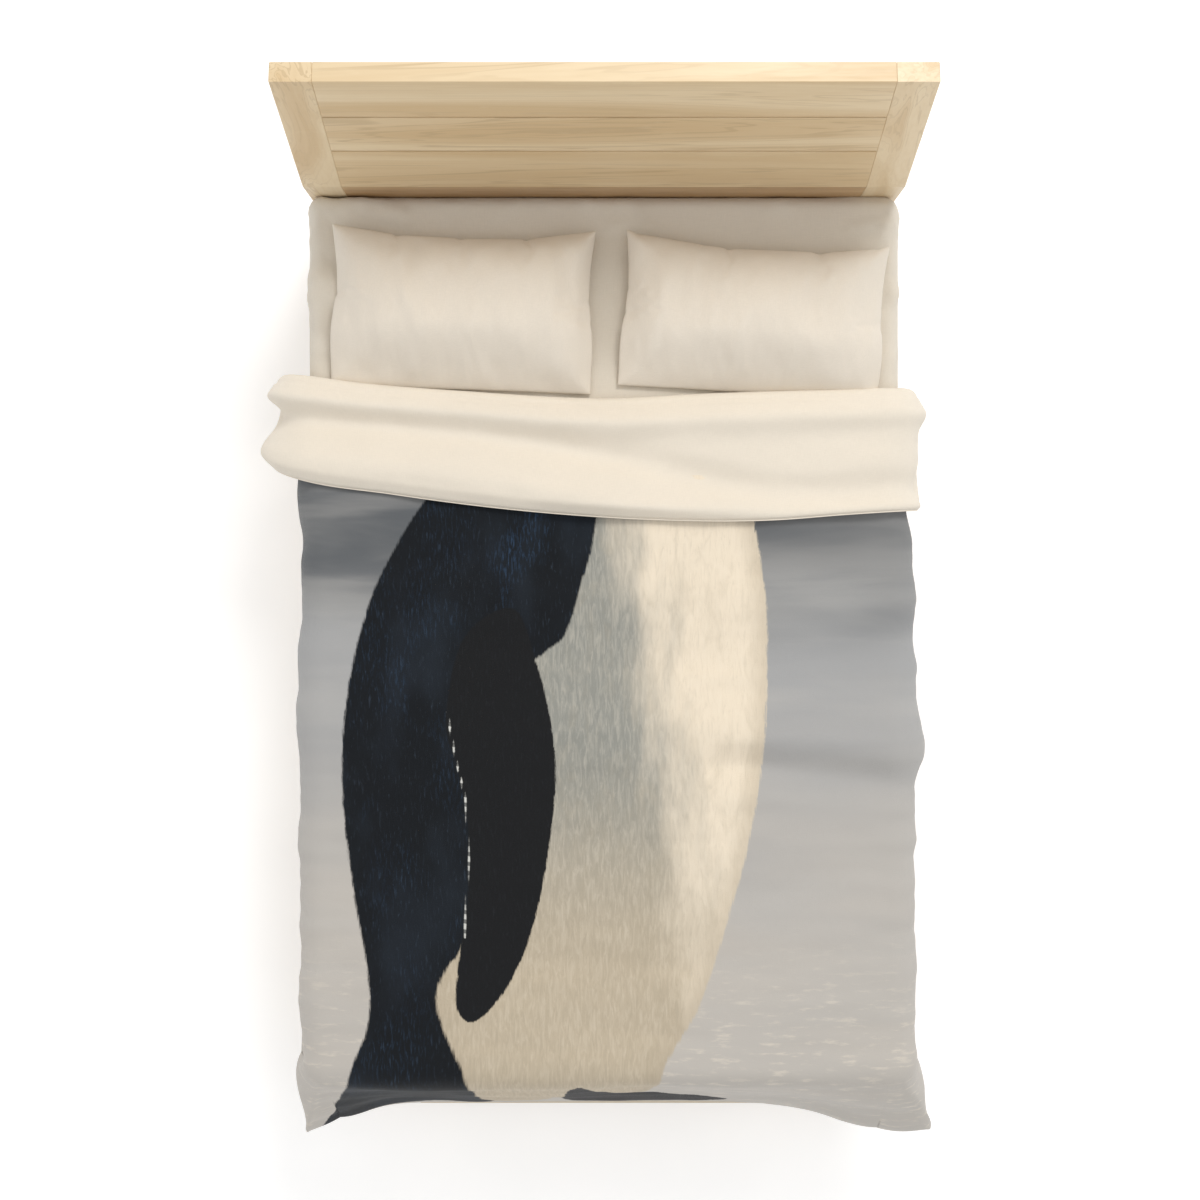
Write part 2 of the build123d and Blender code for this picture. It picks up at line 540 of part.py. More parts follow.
# ---- duvet --------------------------------------------------------------------------
def bed_corners(out, hem):
    """Corners of the duvet's cross-section, at one distance out from its underside."""
    half, top = DUVET_HALF_WIDTH + out, DUVET_UNDERSIDE + out
    return [(-half, hem), (-half, top), (half, top), (half, hem)]


def over_the_bed(out, hem):
    """The cross-section under one surface of the duvet, where the fold begins."""
    corners = bed_corners(out, hem)
    with BuildSketch(Plane.XZ.offset(-FOLD_CENTRE_Y)) as section:
        with BuildLine():
            FilletPolyline(*corners, radius=DUVET_BEND + out)
            Line(corners[-1], corners[0])
        make_face()
    return section.sketch


def tent(out):
    """All the space under one surface of the duvet, from its sloping foot to the fold."""
    slope = (0, -cos(FOOT_SLOPE), sin(FOOT_SLOPE))
    foot = Plane((0, DUVET_TOP_FOOT_Y, DUVET_UNDERSIDE), x_dir=(1, 0, 0), z_dir=slope)
    with BuildPart() as space:
        extrude(over_the_bed(out, FOOT_HEM_Z), amount=FOLD_CENTRE_Y - FOOT_Y + DUVET_THICKNESS)
        split(bisect_by=foot.offset(out), keep=Keep.BOTTOM)
    return space.part


def cuff_space(out):
    """All the space under one surface of the cuff, from its hem to the fold."""
    with BuildPart() as space:
        extrude(over_the_bed(out, SIDE_HEM_Z), amount=FOLD_CENTRE_Y - CUFF_HEM_Y)
    return space.part


def duvet_layer(name, low, high):
    """One layer of the duvet, between two distances out from its underside.

    It runs over the bed from the foot to the fold, round the fold and back as the cuff.
    """
    body_above, body_below = tent(high), tent(low)
    cuff_above, cuff_below = cuff_space(2 * FOLD_CENTRE_N - low), cuff_space(2 * FOLD_CENTRE_N - high)
    path_corners = [(x, FOLD_CENTRE_Y, z) for x, z in bed_corners(FOLD_CENTRE_N, SIDE_HEM_Z)]
    start = Plane(path_corners[0], x_dir=(0, 1, 0), z_dir=(0, 0, 1))
    with BuildPart() as layer:
        add(body_above)
        add(body_below, mode=Mode.SUBTRACT)
        below_side_hem = (FOOT_HEM_Z - 1, SIDE_HEM_Z)
        bed_width = (-MATTRESS_WIDTH, MATTRESS_WIDTH)
        block(bed_width, (FOOT_Y + FOOT_CORNER, FOLD_CENTRE_Y), below_side_hem, Mode.SUBTRACT)
        with BuildLine() as along_the_fold:
            FilletPolyline(*path_corners, radius=DUVET_BEND + FOLD_CENTRE_N)
        with BuildSketch(start) as half_ring:
            Circle(FOLD_CENTRE_N - low)
            Circle(FOLD_CENTRE_N - high, mode=Mode.SUBTRACT)
            with Locations((-FOLD_CENTRE_N, 0)):
                Rectangle(2 * FOLD_CENTRE_N, 3 * FOLD_CENTRE_N, mode=Mode.SUBTRACT)
        sweep(half_ring.sketch, path=along_the_fold.line)
        add(cuff_above - cuff_below)
    save(name, layer)


def build_duvet():
    duvet_layer("duvet_cover_back", 0.0, COVER)
    duvet_layer("duvet_filling", COVER, DUVET_THICKNESS - COVER)
    duvet_layer("duvet_cover_front", DUVET_THICKNESS - COVER, DUVET_THICKNESS)


# ---- zip along the duvet's foot hem -------------------------------------------------
def build_zip_tapes():
    half_length, half_tape, half_coil = ZIP_LENGTH / 2, ZIP_TAPE_WIDTH / 2, COIL_WIDTH / 2
    span = (-half_length, half_length)
    for name, side in (("zip_tape_outer", -1), ("zip_tape_inner", 1)):
        with BuildPart() as tape:
            y_range = sorted((ZIP_Y, ZIP_Y + side * half_tape))
            block(span, y_range, (ZIP_TAPE_BOTTOM, FOOT_HEM_Z))
        save(name, tape)
    coil_y = (ZIP_Y - half_coil, ZIP_Y + half_coil)
    with BuildPart() as coil:
        inside = (STOP_LENGTH - half_length, half_length - STOP_LENGTH)
        block(inside, coil_y, (COIL_BOTTOM, ZIP_TAPE_BOTTOM))
    save("zip_coil", coil)
    with BuildPart() as stops:
        for side in (-1, 1):
            stop_x = sorted((side * half_length, side * (half_length - STOP_LENGTH)))
            half_stop = half_coil + STOP_OVERHANG
            block(stop_x, (ZIP_Y - half_stop, ZIP_Y + half_stop), (COIL_BOTTOM, ZIP_TAPE_BOTTOM))
    save("zip_stops", stops)


def build_zip_slider():
    body_x = (SLIDER_X - SLIDER_LENGTH / 2, SLIDER_X + SLIDER_LENGTH / 2)
    body_y = (ZIP_Y - SLIDER_WIDTH / 2, ZIP_Y + SLIDER_WIDTH / 2)
    channel = COIL_WIDTH / 2 + SLIDER_PLAY
    ear_inner = PULL_WIDTH / 2 + EAR_PLAY
    ear_outer = ear_inner + EAR_THICKNESS
    with BuildPart() as slider:
        block(body_x, body_y, (SLIDER_BOTTOM, ZIP_TAPE_BOTTOM - TAPE_TO_SLIDER))
        fillet(slider.edges().filter_by(Axis.Z), SLIDER_ROUNDING)
        channel_z = (CHANNEL_BOTTOM, ZIP_TAPE_BOTTOM)
        block(body_x, (ZIP_Y - channel, ZIP_Y + channel), channel_z, Mode.SUBTRACT)
        for side in (-1, 1):
            ear_y = sorted((ZIP_Y + side * ear_inner, ZIP_Y + side * ear_outer))
            ear_x = (SLIDER_X - EAR_HALF, SLIDER_X + EAR_HALF)
            block(ear_x, ear_y, (PULL_PIN_Z - EAR_BELOW_PIN, SLIDER_BOTTOM))
        rod((SLIDER_X, ZIP_Y, PULL_PIN_Z), ALONG_Y, PIN_RADIUS, 2 * ear_outer)
    save("zip_slider", slider)


def build_zip_pull():
    half_tab, half_width = PULL_THICKNESS / 2, PULL_WIDTH / 2
    tab_x = (SLIDER_X - half_tab, SLIDER_X + half_tab)
    pin = (SLIDER_X, ZIP_Y, PULL_PIN_Z)
    with BuildPart() as pull:
        rod(pin, ALONG_Y, EYE_RADIUS, PULL_WIDTH)
        tab_y = (ZIP_Y - half_width, ZIP_Y + half_width)
        block(tab_x, tab_y, (PULL_PIN_Z - PULL_LENGTH, PULL_PIN_Z - TAB_BELOW_PIN))
        paddle_y = (ZIP_Y - half_width - PADDLE_LIP, ZIP_Y + half_width + PADDLE_LIP)
        paddle_z = (PULL_PIN_Z - PULL_LENGTH - PADDLE_TIP, PULL_PIN_Z - PADDLE_BELOW_PIN)
        block(tab_x, paddle_y, paddle_z)
        rod(pin, ALONG_Y, EYE_HOLE_RADIUS, 2 * PULL_WIDTH, Mode.SUBTRACT)
    save("zip_pull", pull)


os.makedirs("parts", exist_ok=True)
build_headboard()
build_fasteners()
build_side_rail("side_rail_left", -1)
build_side_rail("side_rail_right", 1)
build_foot_rail()
build_post("foot_post_left", -1)
build_post("foot_post_right", 1)
build_ledger("slat_ledger_left", -1)
build_ledger("slat_ledger_right", 1)
build_slats()
build_centre_support()
build_glides()
build_mattress()
build_fitted_sheet()
build_pillows()
build_duvet()
build_zip_tapes()
build_zip_slider()
build_zip_pull()
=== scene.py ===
"""A made bed seen from straight above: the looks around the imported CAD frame."""
import math

import bmesh
import bpy
import numpy as np
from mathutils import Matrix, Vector, noise


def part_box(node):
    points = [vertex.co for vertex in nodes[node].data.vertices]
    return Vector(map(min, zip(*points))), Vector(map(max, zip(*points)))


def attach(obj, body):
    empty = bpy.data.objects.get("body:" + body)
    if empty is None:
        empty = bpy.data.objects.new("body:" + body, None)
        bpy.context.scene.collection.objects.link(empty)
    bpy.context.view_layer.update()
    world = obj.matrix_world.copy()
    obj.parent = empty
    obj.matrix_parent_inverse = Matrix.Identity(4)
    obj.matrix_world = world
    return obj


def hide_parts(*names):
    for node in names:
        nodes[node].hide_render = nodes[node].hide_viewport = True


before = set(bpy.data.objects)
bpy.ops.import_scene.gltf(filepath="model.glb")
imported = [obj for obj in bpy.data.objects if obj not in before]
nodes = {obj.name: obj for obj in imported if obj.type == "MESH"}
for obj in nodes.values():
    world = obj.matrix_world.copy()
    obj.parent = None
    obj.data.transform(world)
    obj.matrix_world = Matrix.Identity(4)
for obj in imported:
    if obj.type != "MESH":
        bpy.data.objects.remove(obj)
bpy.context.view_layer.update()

# ---- places, in metres, worked out from the frame ------------------------------------
sheet_low, sheet_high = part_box("fitted_sheet")
cover_low, cover_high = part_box("mattress_cover")
FACE_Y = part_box("head_cross_rail")[0][1]  # the headboard's upright face
SHEET_TOP = sheet_high[2]
HALF_BED = cover_high[0]
MATTRESS_FOOT = cover_low[1]

CAMERA_HEIGHT = 4.97  # above the sheet, assumed
CAMERA_FROM_FACE = 0.940  # from the headboard towards the foot
CAMERA_X = -0.009
LENS = 64.2


def add_camera():
    data = bpy.data.cameras.new("camera")
    data.lens = LENS
    camera = bpy.data.objects.new("camera", data)
    camera.location = (CAMERA_X, FACE_Y - CAMERA_FROM_FACE, SHEET_TOP + CAMERA_HEIGHT)
    bpy.context.scene.collection.objects.link(camera)
    bpy.context.scene.camera = camera


# ---- node helpers --------------------------------------------------------------------
class Shader:
    """A material under construction: short calls that add and link nodes."""

    def __init__(self, name):
        self.material = bpy.data.materials.new(name)
        self.material.use_nodes = True
        self.tree = self.material.node_tree
        self.surface = self.tree.nodes["Principled BSDF"]

    def set(self, **values):
        """Constants on the surface shader's own sockets."""
        for name, value in values.items():
            self.surface.inputs[name.replace("_", " ")].default_value = value

    def link(self, source, target):
        self.tree.links.new(source, target)

    def put(self, value, socket):
        if isinstance(value, bpy.types.NodeSocket):
            self.link(value, socket)
        else:
            socket.default_value = value

    def node(self, kind, **settings):
        made = self.tree.nodes.new(kind)
        for name, value in settings.items():
            setattr(made, name, value)
        return made

    def coords(self, scale=(1, 1, 1), offset=(0, 0, 0), turn=0.0, source="Object"):
        """Scaled coordinates, from the object's own or from the map called flat."""
        if source == "Object":
            start = self.node("ShaderNodeTexCoord").outputs["Object"]
        else:
            start = self.node("ShaderNodeUVMap", uv_map=source).outputs["UV"]
        mapping = self.node("ShaderNodeMapping")
        self.link(start, mapping.inputs["Vector"])
        mapping.inputs["Scale"].default_value = scale
        mapping.inputs["Location"].default_value = offset
        mapping.inputs["Rotation"].default_value = (0, 0, turn)
        return mapping.outputs["Vector"]

    def noise(self, coords, scale=1.0, detail=4.0, rough=0.5, distort=0.0):
        made = self.node("ShaderNodeTexNoise")
        self.link(coords, made.inputs["Vector"])
        made.inputs["Scale"].default_value = scale
        made.inputs["Detail"].default_value = detail
        made.inputs["Roughness"].default_value = rough
        made.inputs["Distortion"].default_value = distort
        return made.outputs["Fac"]

    def wave(self, coords, scale, direction="X", distort=0.0):
        made = self.node("ShaderNodeTexWave", bands_direction=direction)
        self.link(coords, made.inputs["Vector"])
        made.inputs["Scale"].default_value = scale
        made.inputs["Distortion"].default_value = distort
        return made.outputs["Fac"]

    def math(self, operation, first, second=0.0, clamp=False):
        made = self.node("ShaderNodeMath", operation=operation, use_clamp=clamp)
        self.put(first, made.inputs[0])
        self.put(second, made.inputs[1])
        return made.outputs[0]

    def step(self, value, low, high, out_low=0.0, out_high=1.0):
        """A smooth step between two values."""
        made = self.node("ShaderNodeMapRange", interpolation_type="SMOOTHSTEP")
        self.link(value, made.inputs["Value"])
        for name, number in zip(
            ("From Min", "From Max", "To Min", "To Max"), (low, high, out_low, out_high)
        ):
            self.put(number, made.inputs[name])
        return made.outputs["Result"]

    def mix(self, amount, first, second, blend="MIX"):
        made = self.node("ShaderNodeMix", data_type="RGBA", blend_type=blend)
        self.put(amount, made.inputs["Factor"])
        self.put(first, made.inputs["A"])
        self.put(second, made.inputs["B"])
        return made.outputs["Result"]

    def attribute(self, name):
        return self.node("ShaderNodeAttribute", attribute_name=name).outputs["Fac"]

    def bump(self, height, distance, strength=1.0, below=None):
        made = self.node("ShaderNodeBump")
        self.link(height, made.inputs["Height"])
        made.inputs["Distance"].default_value = distance
        made.inputs["Strength"].default_value = strength
        if below is not None:
            self.link(below, made.inputs["Normal"])
        return made.outputs["Normal"]

    def finish(self, colour=None, rough=None, normal=None):
        for value, name in ((colour, "Base Color"), (rough, "Roughness"), (normal, "Normal")):
            if value is not None:
                self.put(value, self.surface.inputs[name])
        return self.material


def srgb(red, green, blue):
    """A linear colour from display values of 0 to 255."""
    linear = [((v / 255 + 0.055) / 1.055) ** 2.4 for v in (red, green, blue)]
    return (*linear, 1.0)


# ---- materials -----------------------------------------------------------------------
THREADS = (60.0, 3.0, 0.6)  # scale, detail and roughness of the uneven threads
WEAVE = 900.0
GRAIN_STRETCH = 0.07  # how drawn out the wood's figure is along the board
RING_LINES = 95.0


def wood(name, along, seed, pale, dark, rough=0.42):
    """Boards with grain along X, Y or Z: broad figure, fine lines, pores and flecks."""
    s = Shader(name)
    stretch = [GRAIN_STRETCH if axis == along else 1 for axis in "XYZ"]
    offset = (seed * 3.7, seed * 1.9, seed * 2.3)
    grain = s.coords(stretch, offset)
    figure = s.noise(grain, 9.0, 4.0, 0.5, 0.9)
    fine = s.noise(grain, 150.0, 3.0, 0.6)
    fleck = s.noise(s.coords((0.5, 1.2, 1.2), offset), 30.0, 2.0, 0.5)
    colour = s.mix(s.step(figure, 0.30, 0.70), pale, dark)
    # thin darker rings follow the contours of the figure
    contour = s.math("SINE", s.math("MULTIPLY", figure, RING_LINES))
    patchy = s.step(s.noise(grain, 5.0, 2.0, 0.5), 0.42, 0.62, 0.10, 0.55)
    rings = s.math("MULTIPLY", s.step(contour, 0.45, 1.0), patchy)
    colour = s.mix(rings, colour, tuple(0.80 * v for v in dark[:3]) + (1.0,))
    colour = s.mix(s.step(fine, 0.35, 0.75, 0.0, 0.14), colour, dark)
    colour = s.mix(s.step(fleck, 0.62, 0.72, 0.0, 0.12), colour, pale)
    pores = s.bump(fine, 0.0006, 0.35)
    s.set(Coat_Weight=0.18, Coat_Roughness=0.35)
    return s.finish(colour, s.step(fine, 0.3, 0.8, rough - 0.05, rough + 0.08), pores)


def cotton(name, base, source="Object", weave=WEAVE):
    """Brushed cotton: plain weave, uneven threads both ways and a soft nap."""
    s = Shader(name)
    plane = s.coords(source=source)
    across = s.noise(s.coords((1, 14, 14), source=source), *THREADS)
    along = s.noise(s.coords((14, 1, 14), (5, 2, 1), source=source), *THREADS)
    threads = s.math("MULTIPLY", s.math("ADD", across, along), 0.5)
    warp, weft = s.wave(plane, weave, "X"), s.wave(plane, weave, "Y")
    cloudy = s.noise(plane, 5.0, 3.0, 0.5)
    shade = tuple(v * 0.90 for v in base[:3]) + (1.0,)
    colour = s.mix(s.step(threads, 0.38, 0.62, 0.0, 0.45), base, shade)
    colour = s.mix(s.step(cloudy, 0.35, 0.70, 0.0, 0.22), colour, shade)
    woven = s.bump(s.math("ADD", warp, weft), 0.00025, 0.5)
    normal = s.bump(threads, 0.0011, 0.55, woven)
    s.set(Sheen_Weight=0.22, Sheen_Roughness=0.5, Specular_IOR_Level=0.18)
    return s.finish(colour, s.step(threads, 0.3, 0.7, 0.80, 0.92), normal)


def plain(name, colour, rough, metal=0.0, grain=300.0, depth=0.0002):
    """Felt, plated steel and similar small pieces: mottled colour over a fine grain."""
    s = Shader(name)
    plane = s.coords()
    mottle = s.noise(plane, grain, 4.0, 0.6)
    shade = tuple(v * 0.72 for v in colour[:3]) + (1.0,)
    tone = s.mix(s.step(mottle, 0.35, 0.70, 0.0, 0.6), colour, shade)
    s.set(Metallic=metal)
    return s.finish(tone, s.step(mottle, 0.3, 0.7, rough, rough + 0.12), s.bump(mottle, depth, 0.4))


BACKDROP_TOP, BACKDROP_MIDDLE = srgb(98, 101, 104), srgb(168, 168, 168)
BACKDROP_LOW = srgb(196, 190, 182)
BACK, BACK_BLUE, FLIPPER = srgb(16, 20, 25), srgb(38, 62, 88), srgb(22, 23, 25)
BELLY_LIT, BELLY_SHADE = srgb(238, 224, 202), srgb(150, 150, 143)
BELLY_LOW = srgb(194, 180, 157)


def picture():
    """The duvet's printed front: a standing bird's body on soft, blurred snow.

    Each outline is an attribute that holds the distance to it, positive inside.
    """
    s = Shader("duvet_print")
    flat = s.coords(source="flat")
    split = s.node("ShaderNodeSeparateXYZ")
    s.link(s.node("ShaderNodeUVMap", uv_map="flat").outputs["UV"], split.inputs[0])
    across, along = split.outputs[0], split.outputs[1]
    # blurred snow: cooler and darker at the top, warm and pale at the foot
    blur = s.noise(s.coords((0.5, 1.4, 1), source="flat"), 2.2, 2.5, 0.45)
    height = s.math("ADD", along, s.math("MULTIPLY", s.math("SUBTRACT", blur, 0.5), 0.8))
    ground = s.mix(s.step(height, -0.95, -0.10), BACKDROP_LOW, BACKDROP_MIDDLE)
    ground = s.mix(s.step(s.math("ADD", height, along), -0.30, 0.30), ground, BACKDROP_TOP)
    drift = s.noise(s.coords((0.35, 2.4, 1), (3, 1, 0), source="flat"), 3.6, 4.0, 0.5, 0.4)
    ground = s.mix(s.step(drift, 0.40, 0.66, 0.0, 0.30), ground, srgb(190, 187, 182))
    grit = s.noise(s.coords((0.5, 2.2, 1), (8, 5, 0), source="flat"), 34.0, 4.0, 0.6)
    low = s.step(along, -0.70, -1.05)
    ground = s.mix(s.math("MULTIPLY", s.step(grit, 0.52, 0.72), low), ground, srgb(214, 206, 194))
    # belly: bright on the right, cool shade on the left and above, long soft streaks
    hairs = s.noise(s.coords((20, 3.4, 1), turn=0.06, source="flat"), 7.0, 5.0, 0.62, 0.8)
    soft = s.noise(s.coords((5, 1.2, 1), (2, 7, 0), source="flat"), 3.0, 3.0, 0.5)
    lean = s.math("ADD", across, s.math("MULTIPLY", s.math("SUBTRACT", soft, 0.5), 0.26))
    lit = s.step(s.math("ADD", lean, s.math("MULTIPLY", along, 0.14)), -0.02, 0.18)
    shaded = s.mix(s.step(along, -0.30, -0.90), BELLY_SHADE, BELLY_LOW)
    belly = s.mix(lit, shaded, BELLY_LIT)
    belly = s.mix(s.step(hairs, 0.40, 0.72, 0.0, 0.20), belly, srgb(250, 240, 222))
    belly = s.mix(s.step(hairs, 0.50, 0.30, 0.0, 0.12), belly, srgb(150, 146, 134))
    down = s.noise(s.coords((3.0, 1.1, 1), (4, 9, 0), 0.10, source="flat"), 5.5, 5.0, 0.62, 1.4)
    belly = s.mix(s.step(down, 0.46, 0.72, 0.0, 0.18), belly, srgb(176, 164, 142))
    rim = s.step(s.attribute("belly"), 0.0, 0.055, 0.45, 0.0)
    belly = s.mix(rim, belly, srgb(186, 172, 150))
    # back: short slanting feathers with cold highlights near the shoulder and rump
    feathers = s.noise(s.coords((30, 5, 1), turn=0.42, source="flat"), 7.0, 5.0, 0.68, 0.5)
    patches = s.noise(s.coords((2.0, 1.0, 1), (1, 4, 0), source="flat"), 3.2, 2.0, 0.5)
    cold = s.math("MULTIPLY", s.step(feathers, 0.46, 0.70), s.step(patches, 0.44, 0.62))
    slant = s.math("SUBTRACT", across, s.math("MULTIPLY", along, 0.7))
    shoulder = s.step(s.math("ABSOLUTE", s.math("ADD", slant, 0.29)), 0.13, 0.02, 0.30, 1.0)
    back = s.mix(s.math("MULTIPLY", cold, shoulder), BACK, BACK_BLUE)
    back = s.mix(s.step(feathers, 0.54, 0.80, 0.0, 0.55), back, srgb(62, 74, 88))
    glossy = s.noise(s.coords((1.6, 0.8, 1), (6, 2, 0), source="flat"), 4.0, 3.0, 0.5)
    back = s.mix(s.step(glossy, 0.45, 0.70, 0.0, 0.30), back, srgb(46, 56, 68))
    flipper = s.mix(s.step(feathers, 0.50, 0.80, 0.0, 0.25), FLIPPER, srgb(52, 56, 62))
    ragged = s.math("MULTIPLY", s.math("SUBTRACT", feathers, 0.5), 0.014)
    fluffy = s.math("MULTIPLY", s.math("SUBTRACT", hairs, 0.5), 0.020)

    def inside(name, edge, width):
        return s.step(s.math("ADD", s.attribute(name), edge), -width, width)

    colour = s.mix(inside("belly", fluffy, 0.004), ground, belly)
    colour = s.mix(inside("back", ragged, 0.0035), colour, back)
    colour = s.mix(inside("tuft", fluffy, 0.005), colour, belly)
    colour = s.mix(inside("flipper", ragged, 0.0022), colour, flipper)
    edge = s.step(s.attribute("flipper_edge"), 0.0042, 0.0016)
    bands = s.wave(s.coords((0.35, 1, 1), turn=0.5, source="flat"), 16.0, "Y", 1.5)
    dashes = s.step(bands, 0.25, 0.60, 0.25, 1.0)
    colour = s.mix(s.math("MULTIPLY", edge, dashes), colour, srgb(214, 214, 208))
    colour = s.mix(inside("feet", ragged, 0.003), colour, srgb(34, 33, 35))
    threads = s.noise(s.coords((1, 14, 1), source="flat"), *THREADS)
    woven = s.bump(s.wave(flat, WEAVE, "X"), 0.00025, 0.4)
    s.set(Sheen_Weight=0.12, Sheen_Roughness=0.5, Specular_IOR_Level=0.2)
    return s.finish(colour, 0.82, s.bump(threads, 0.0009, 0.45, woven))


# ---- mesh helpers --------------------------------------------------------------------
def smooth(value, low, high):
    """A smooth step on numpy values."""
    t = np.clip((value - low) / (high - low), 0.0, 1.0)
    return t * t * (3 - 2 * t)


def bell(value, centre, width):
    return np.exp(-(((value - centre) / width) ** 2))


def curve_through(points, at):
    """A smooth curve through given (x, y) points, read at many x."""
    xs, ys = np.array(points, float).T
    slopes = np.gradient(ys, xs)
    place = np.clip(np.searchsorted(xs, at) - 1, 0, len(xs) - 2)
    width = xs[place + 1] - xs[place]
    t = np.clip((at - xs[place]) / width, 0, 1)
    blend = (2 * t**3 - 3 * t**2 + 1, t**3 - 2 * t**2 + t, 3 * t**2 - 2 * t**3, t**3 - t**2)
    ends = ys[place], slopes[place] * width, ys[place + 1], slopes[place + 1] * width
    return sum(b * e for b, e in zip(blend, ends))


def roughness(points, scale, seed, octaves=3):
    """Perlin noise at each point, from about -1 to 1."""
    shift = Vector((seed * 7.13, seed * 3.71, seed * 5.37))
    flat = points.reshape(-1, points.shape[-1])
    values = [noise.fractal(Vector(p) * scale + shift, 1.0, 2.0, octaves) for p in flat]
    return np.array(values).reshape(points.shape[:-1])


def grid_faces(rows, columns, closed=False):
    """Quads between the points of a grid, numbered row by row."""
    index = np.arange(rows * columns).reshape(rows, columns)
    if closed:
        index = np.column_stack([index, index[:, :1]])
    corners = index[:-1, :-1], index[:-1, 1:], index[1:, 1:], index[1:, :-1]
    return np.stack([c.ravel() for c in corners], axis=1)


def new_piece(name, vertices, faces, *materials):
    mesh = bpy.data.meshes.new(name)
    mesh.from_pydata([tuple(v) for v in vertices], [], [tuple(map(int, f)) for f in faces])
    mesh.validate()
    for material in materials:
        mesh.materials.append(material)
    mesh.shade_smooth()
    piece = bpy.data.objects.new(name, mesh)
    bpy.context.scene.collection.objects.link(piece)
    return piece


def face_outwards(piece):
    shape = bmesh.new()
    shape.from_mesh(piece.data)
    bmesh.ops.recalc_face_normals(shape, faces=shape.faces)
    shape.to_mesh(piece.data)
    shape.free()


def thicken(piece, thickness):
    """Gives a one-layer cloth its thickness, inwards, as real faces."""
    solid = piece.modifiers.new("thickness", "SOLIDIFY")
    solid.thickness = thickness
    solid.offset = -1.0
    apply_modifiers(piece)


def apply_modifiers(piece):
    graph = bpy.context.evaluated_depsgraph_get()
    mesh = bpy.data.meshes.new_from_object(piece.evaluated_get(graph))
    piece.modifiers.clear()
    piece.data = mesh
    mesh.shade_smooth()


def tube(name, line, radius, material, closed=True, sides=8):
    """A round cord along a line of points, such as a piping or a seam."""
    line = np.array(line, float)
    ahead = np.roll(line, -1, axis=0) - np.roll(line, 1, axis=0)
    ahead /= np.linalg.norm(ahead, axis=1)[:, None]
    side = np.cross(ahead, (0.03, 0.05, 1.0))
    side /= np.linalg.norm(side, axis=1)[:, None]
    lift = np.cross(side, ahead)
    turns = np.linspace(0, 2 * math.pi, sides, endpoint=False)
    rings = [line + radius * (math.cos(t) * side + math.sin(t) * lift) for t in turns]
    grid = np.stack(rings, axis=1)
    if closed:
        grid = np.concatenate([grid, grid[:1]])
    count = len(line)
    faces = grid_faces(len(grid), sides, closed=True)
    if closed:
        faces = faces % (count * sides)
    return new_piece(name, grid.reshape(-1, 3)[: count * sides], faces, material)


# ---- mattress and fitted sheet -------------------------------------------------------
CORNER_STEPS = 14
MATTRESS_COLUMNS, SHEET_COLUMNS = 360, 520  # points round each
TOP_RINGS, SIDE_RINGS = 90, 30
MATTRESS_CORNER, MATTRESS_EDGE = 0.034, 0.030  # radii in plan and at the top
MATTRESS_UNDER = 0.45  # how far its base is drawn in before it is closed
PIPING_HEIGHT, PIPING_RADIUS = 0.016, 0.0024
SHEET_CORNER, SHEET_EDGE = 0.0355, 0.0315
SHEET_UNDER = 0.066  # turned in under the mattress
SHEET_THICKNESS = 0.0011
PUCKER_SPACING = 0.047


def rounded_outline(low, high, corner, count):
    """Points and outward directions round a rounded rectangle, evenly spaced."""
    centre = (np.array(low[:2]) + np.array(high[:2])) / 2
    half = (np.array(high[:2]) - np.array(low[:2])) / 2 - corner
    points, outward = [], []
    for quarter, (sx, sy) in enumerate(((1, 1), (-1, 1), (-1, -1), (1, -1))):
        for t in np.linspace(0, math.pi / 2, CORNER_STEPS):
            turn = t + quarter * math.pi / 2
            out = np.array((math.cos(turn), math.sin(turn)))
            points.append(centre + half * (sx, sy) + corner * out)
            outward.append(out)
    points, outward = np.array(points + points[:1]), np.array(outward + outward[:1])
    along = np.r_[0, np.cumsum(np.linalg.norm(np.diff(points, axis=0), axis=1))]
    at = np.linspace(0, along[-1], count, endpoint=False)
    even = np.stack([np.interp(at, along, points[:, k]) for k in (0, 1)], axis=1)
    out = np.stack([np.interp(at, along, outward[:, k]) for k in (0, 1)], axis=1)
    return even, out / np.linalg.norm(out, axis=1)[:, None], at, centre


def wrapped_box(low, high, corner, edge, under, count):
    """Rings of a cloth over a padded block: across its top, down its sides and under it.

    Returns the grid of points, their outward normals and the distance round.
    """
    outline, out, around, centre = rounded_outline(low, high, corner, count)
    rings, normals = [], []
    up = np.array((0, 0, 1.0))
    flat_out = np.column_stack([out, np.zeros(count)])

    def ring(inset, z, normal_tilt, shrink=1.0):
        plan = centre + (outline - out * inset - centre) * shrink
        rings.append(np.column_stack([plan, np.full(count, z)]))
        normals.append(math.cos(normal_tilt) * flat_out + math.sin(normal_tilt) * up)

    for shrink in np.linspace(0.01, 1.0, TOP_RINGS)[:-1]:
        ring(edge, high[2], math.pi / 2, shrink)
    for turn in np.linspace(math.pi / 2, 0, 9):
        ring(edge * (1 - math.cos(turn)), high[2] - edge * (1 - math.sin(turn)), turn)
    bottom_edge = 0.012
    for z in np.linspace(high[2] - edge, low[2] + bottom_edge, SIDE_RINGS)[1:-1]:
        ring(0.0, z, 0.0)
    for turn in np.linspace(0, -math.pi / 2, 6):
        inset = bottom_edge * (1 - math.cos(turn))
        ring(inset, low[2] + bottom_edge * (1 + math.sin(turn)), turn)
    for inset in np.linspace(0.02, under, 8):
        ring(inset, low[2], -math.pi / 2)
    return np.array(rings), np.array(normals), around


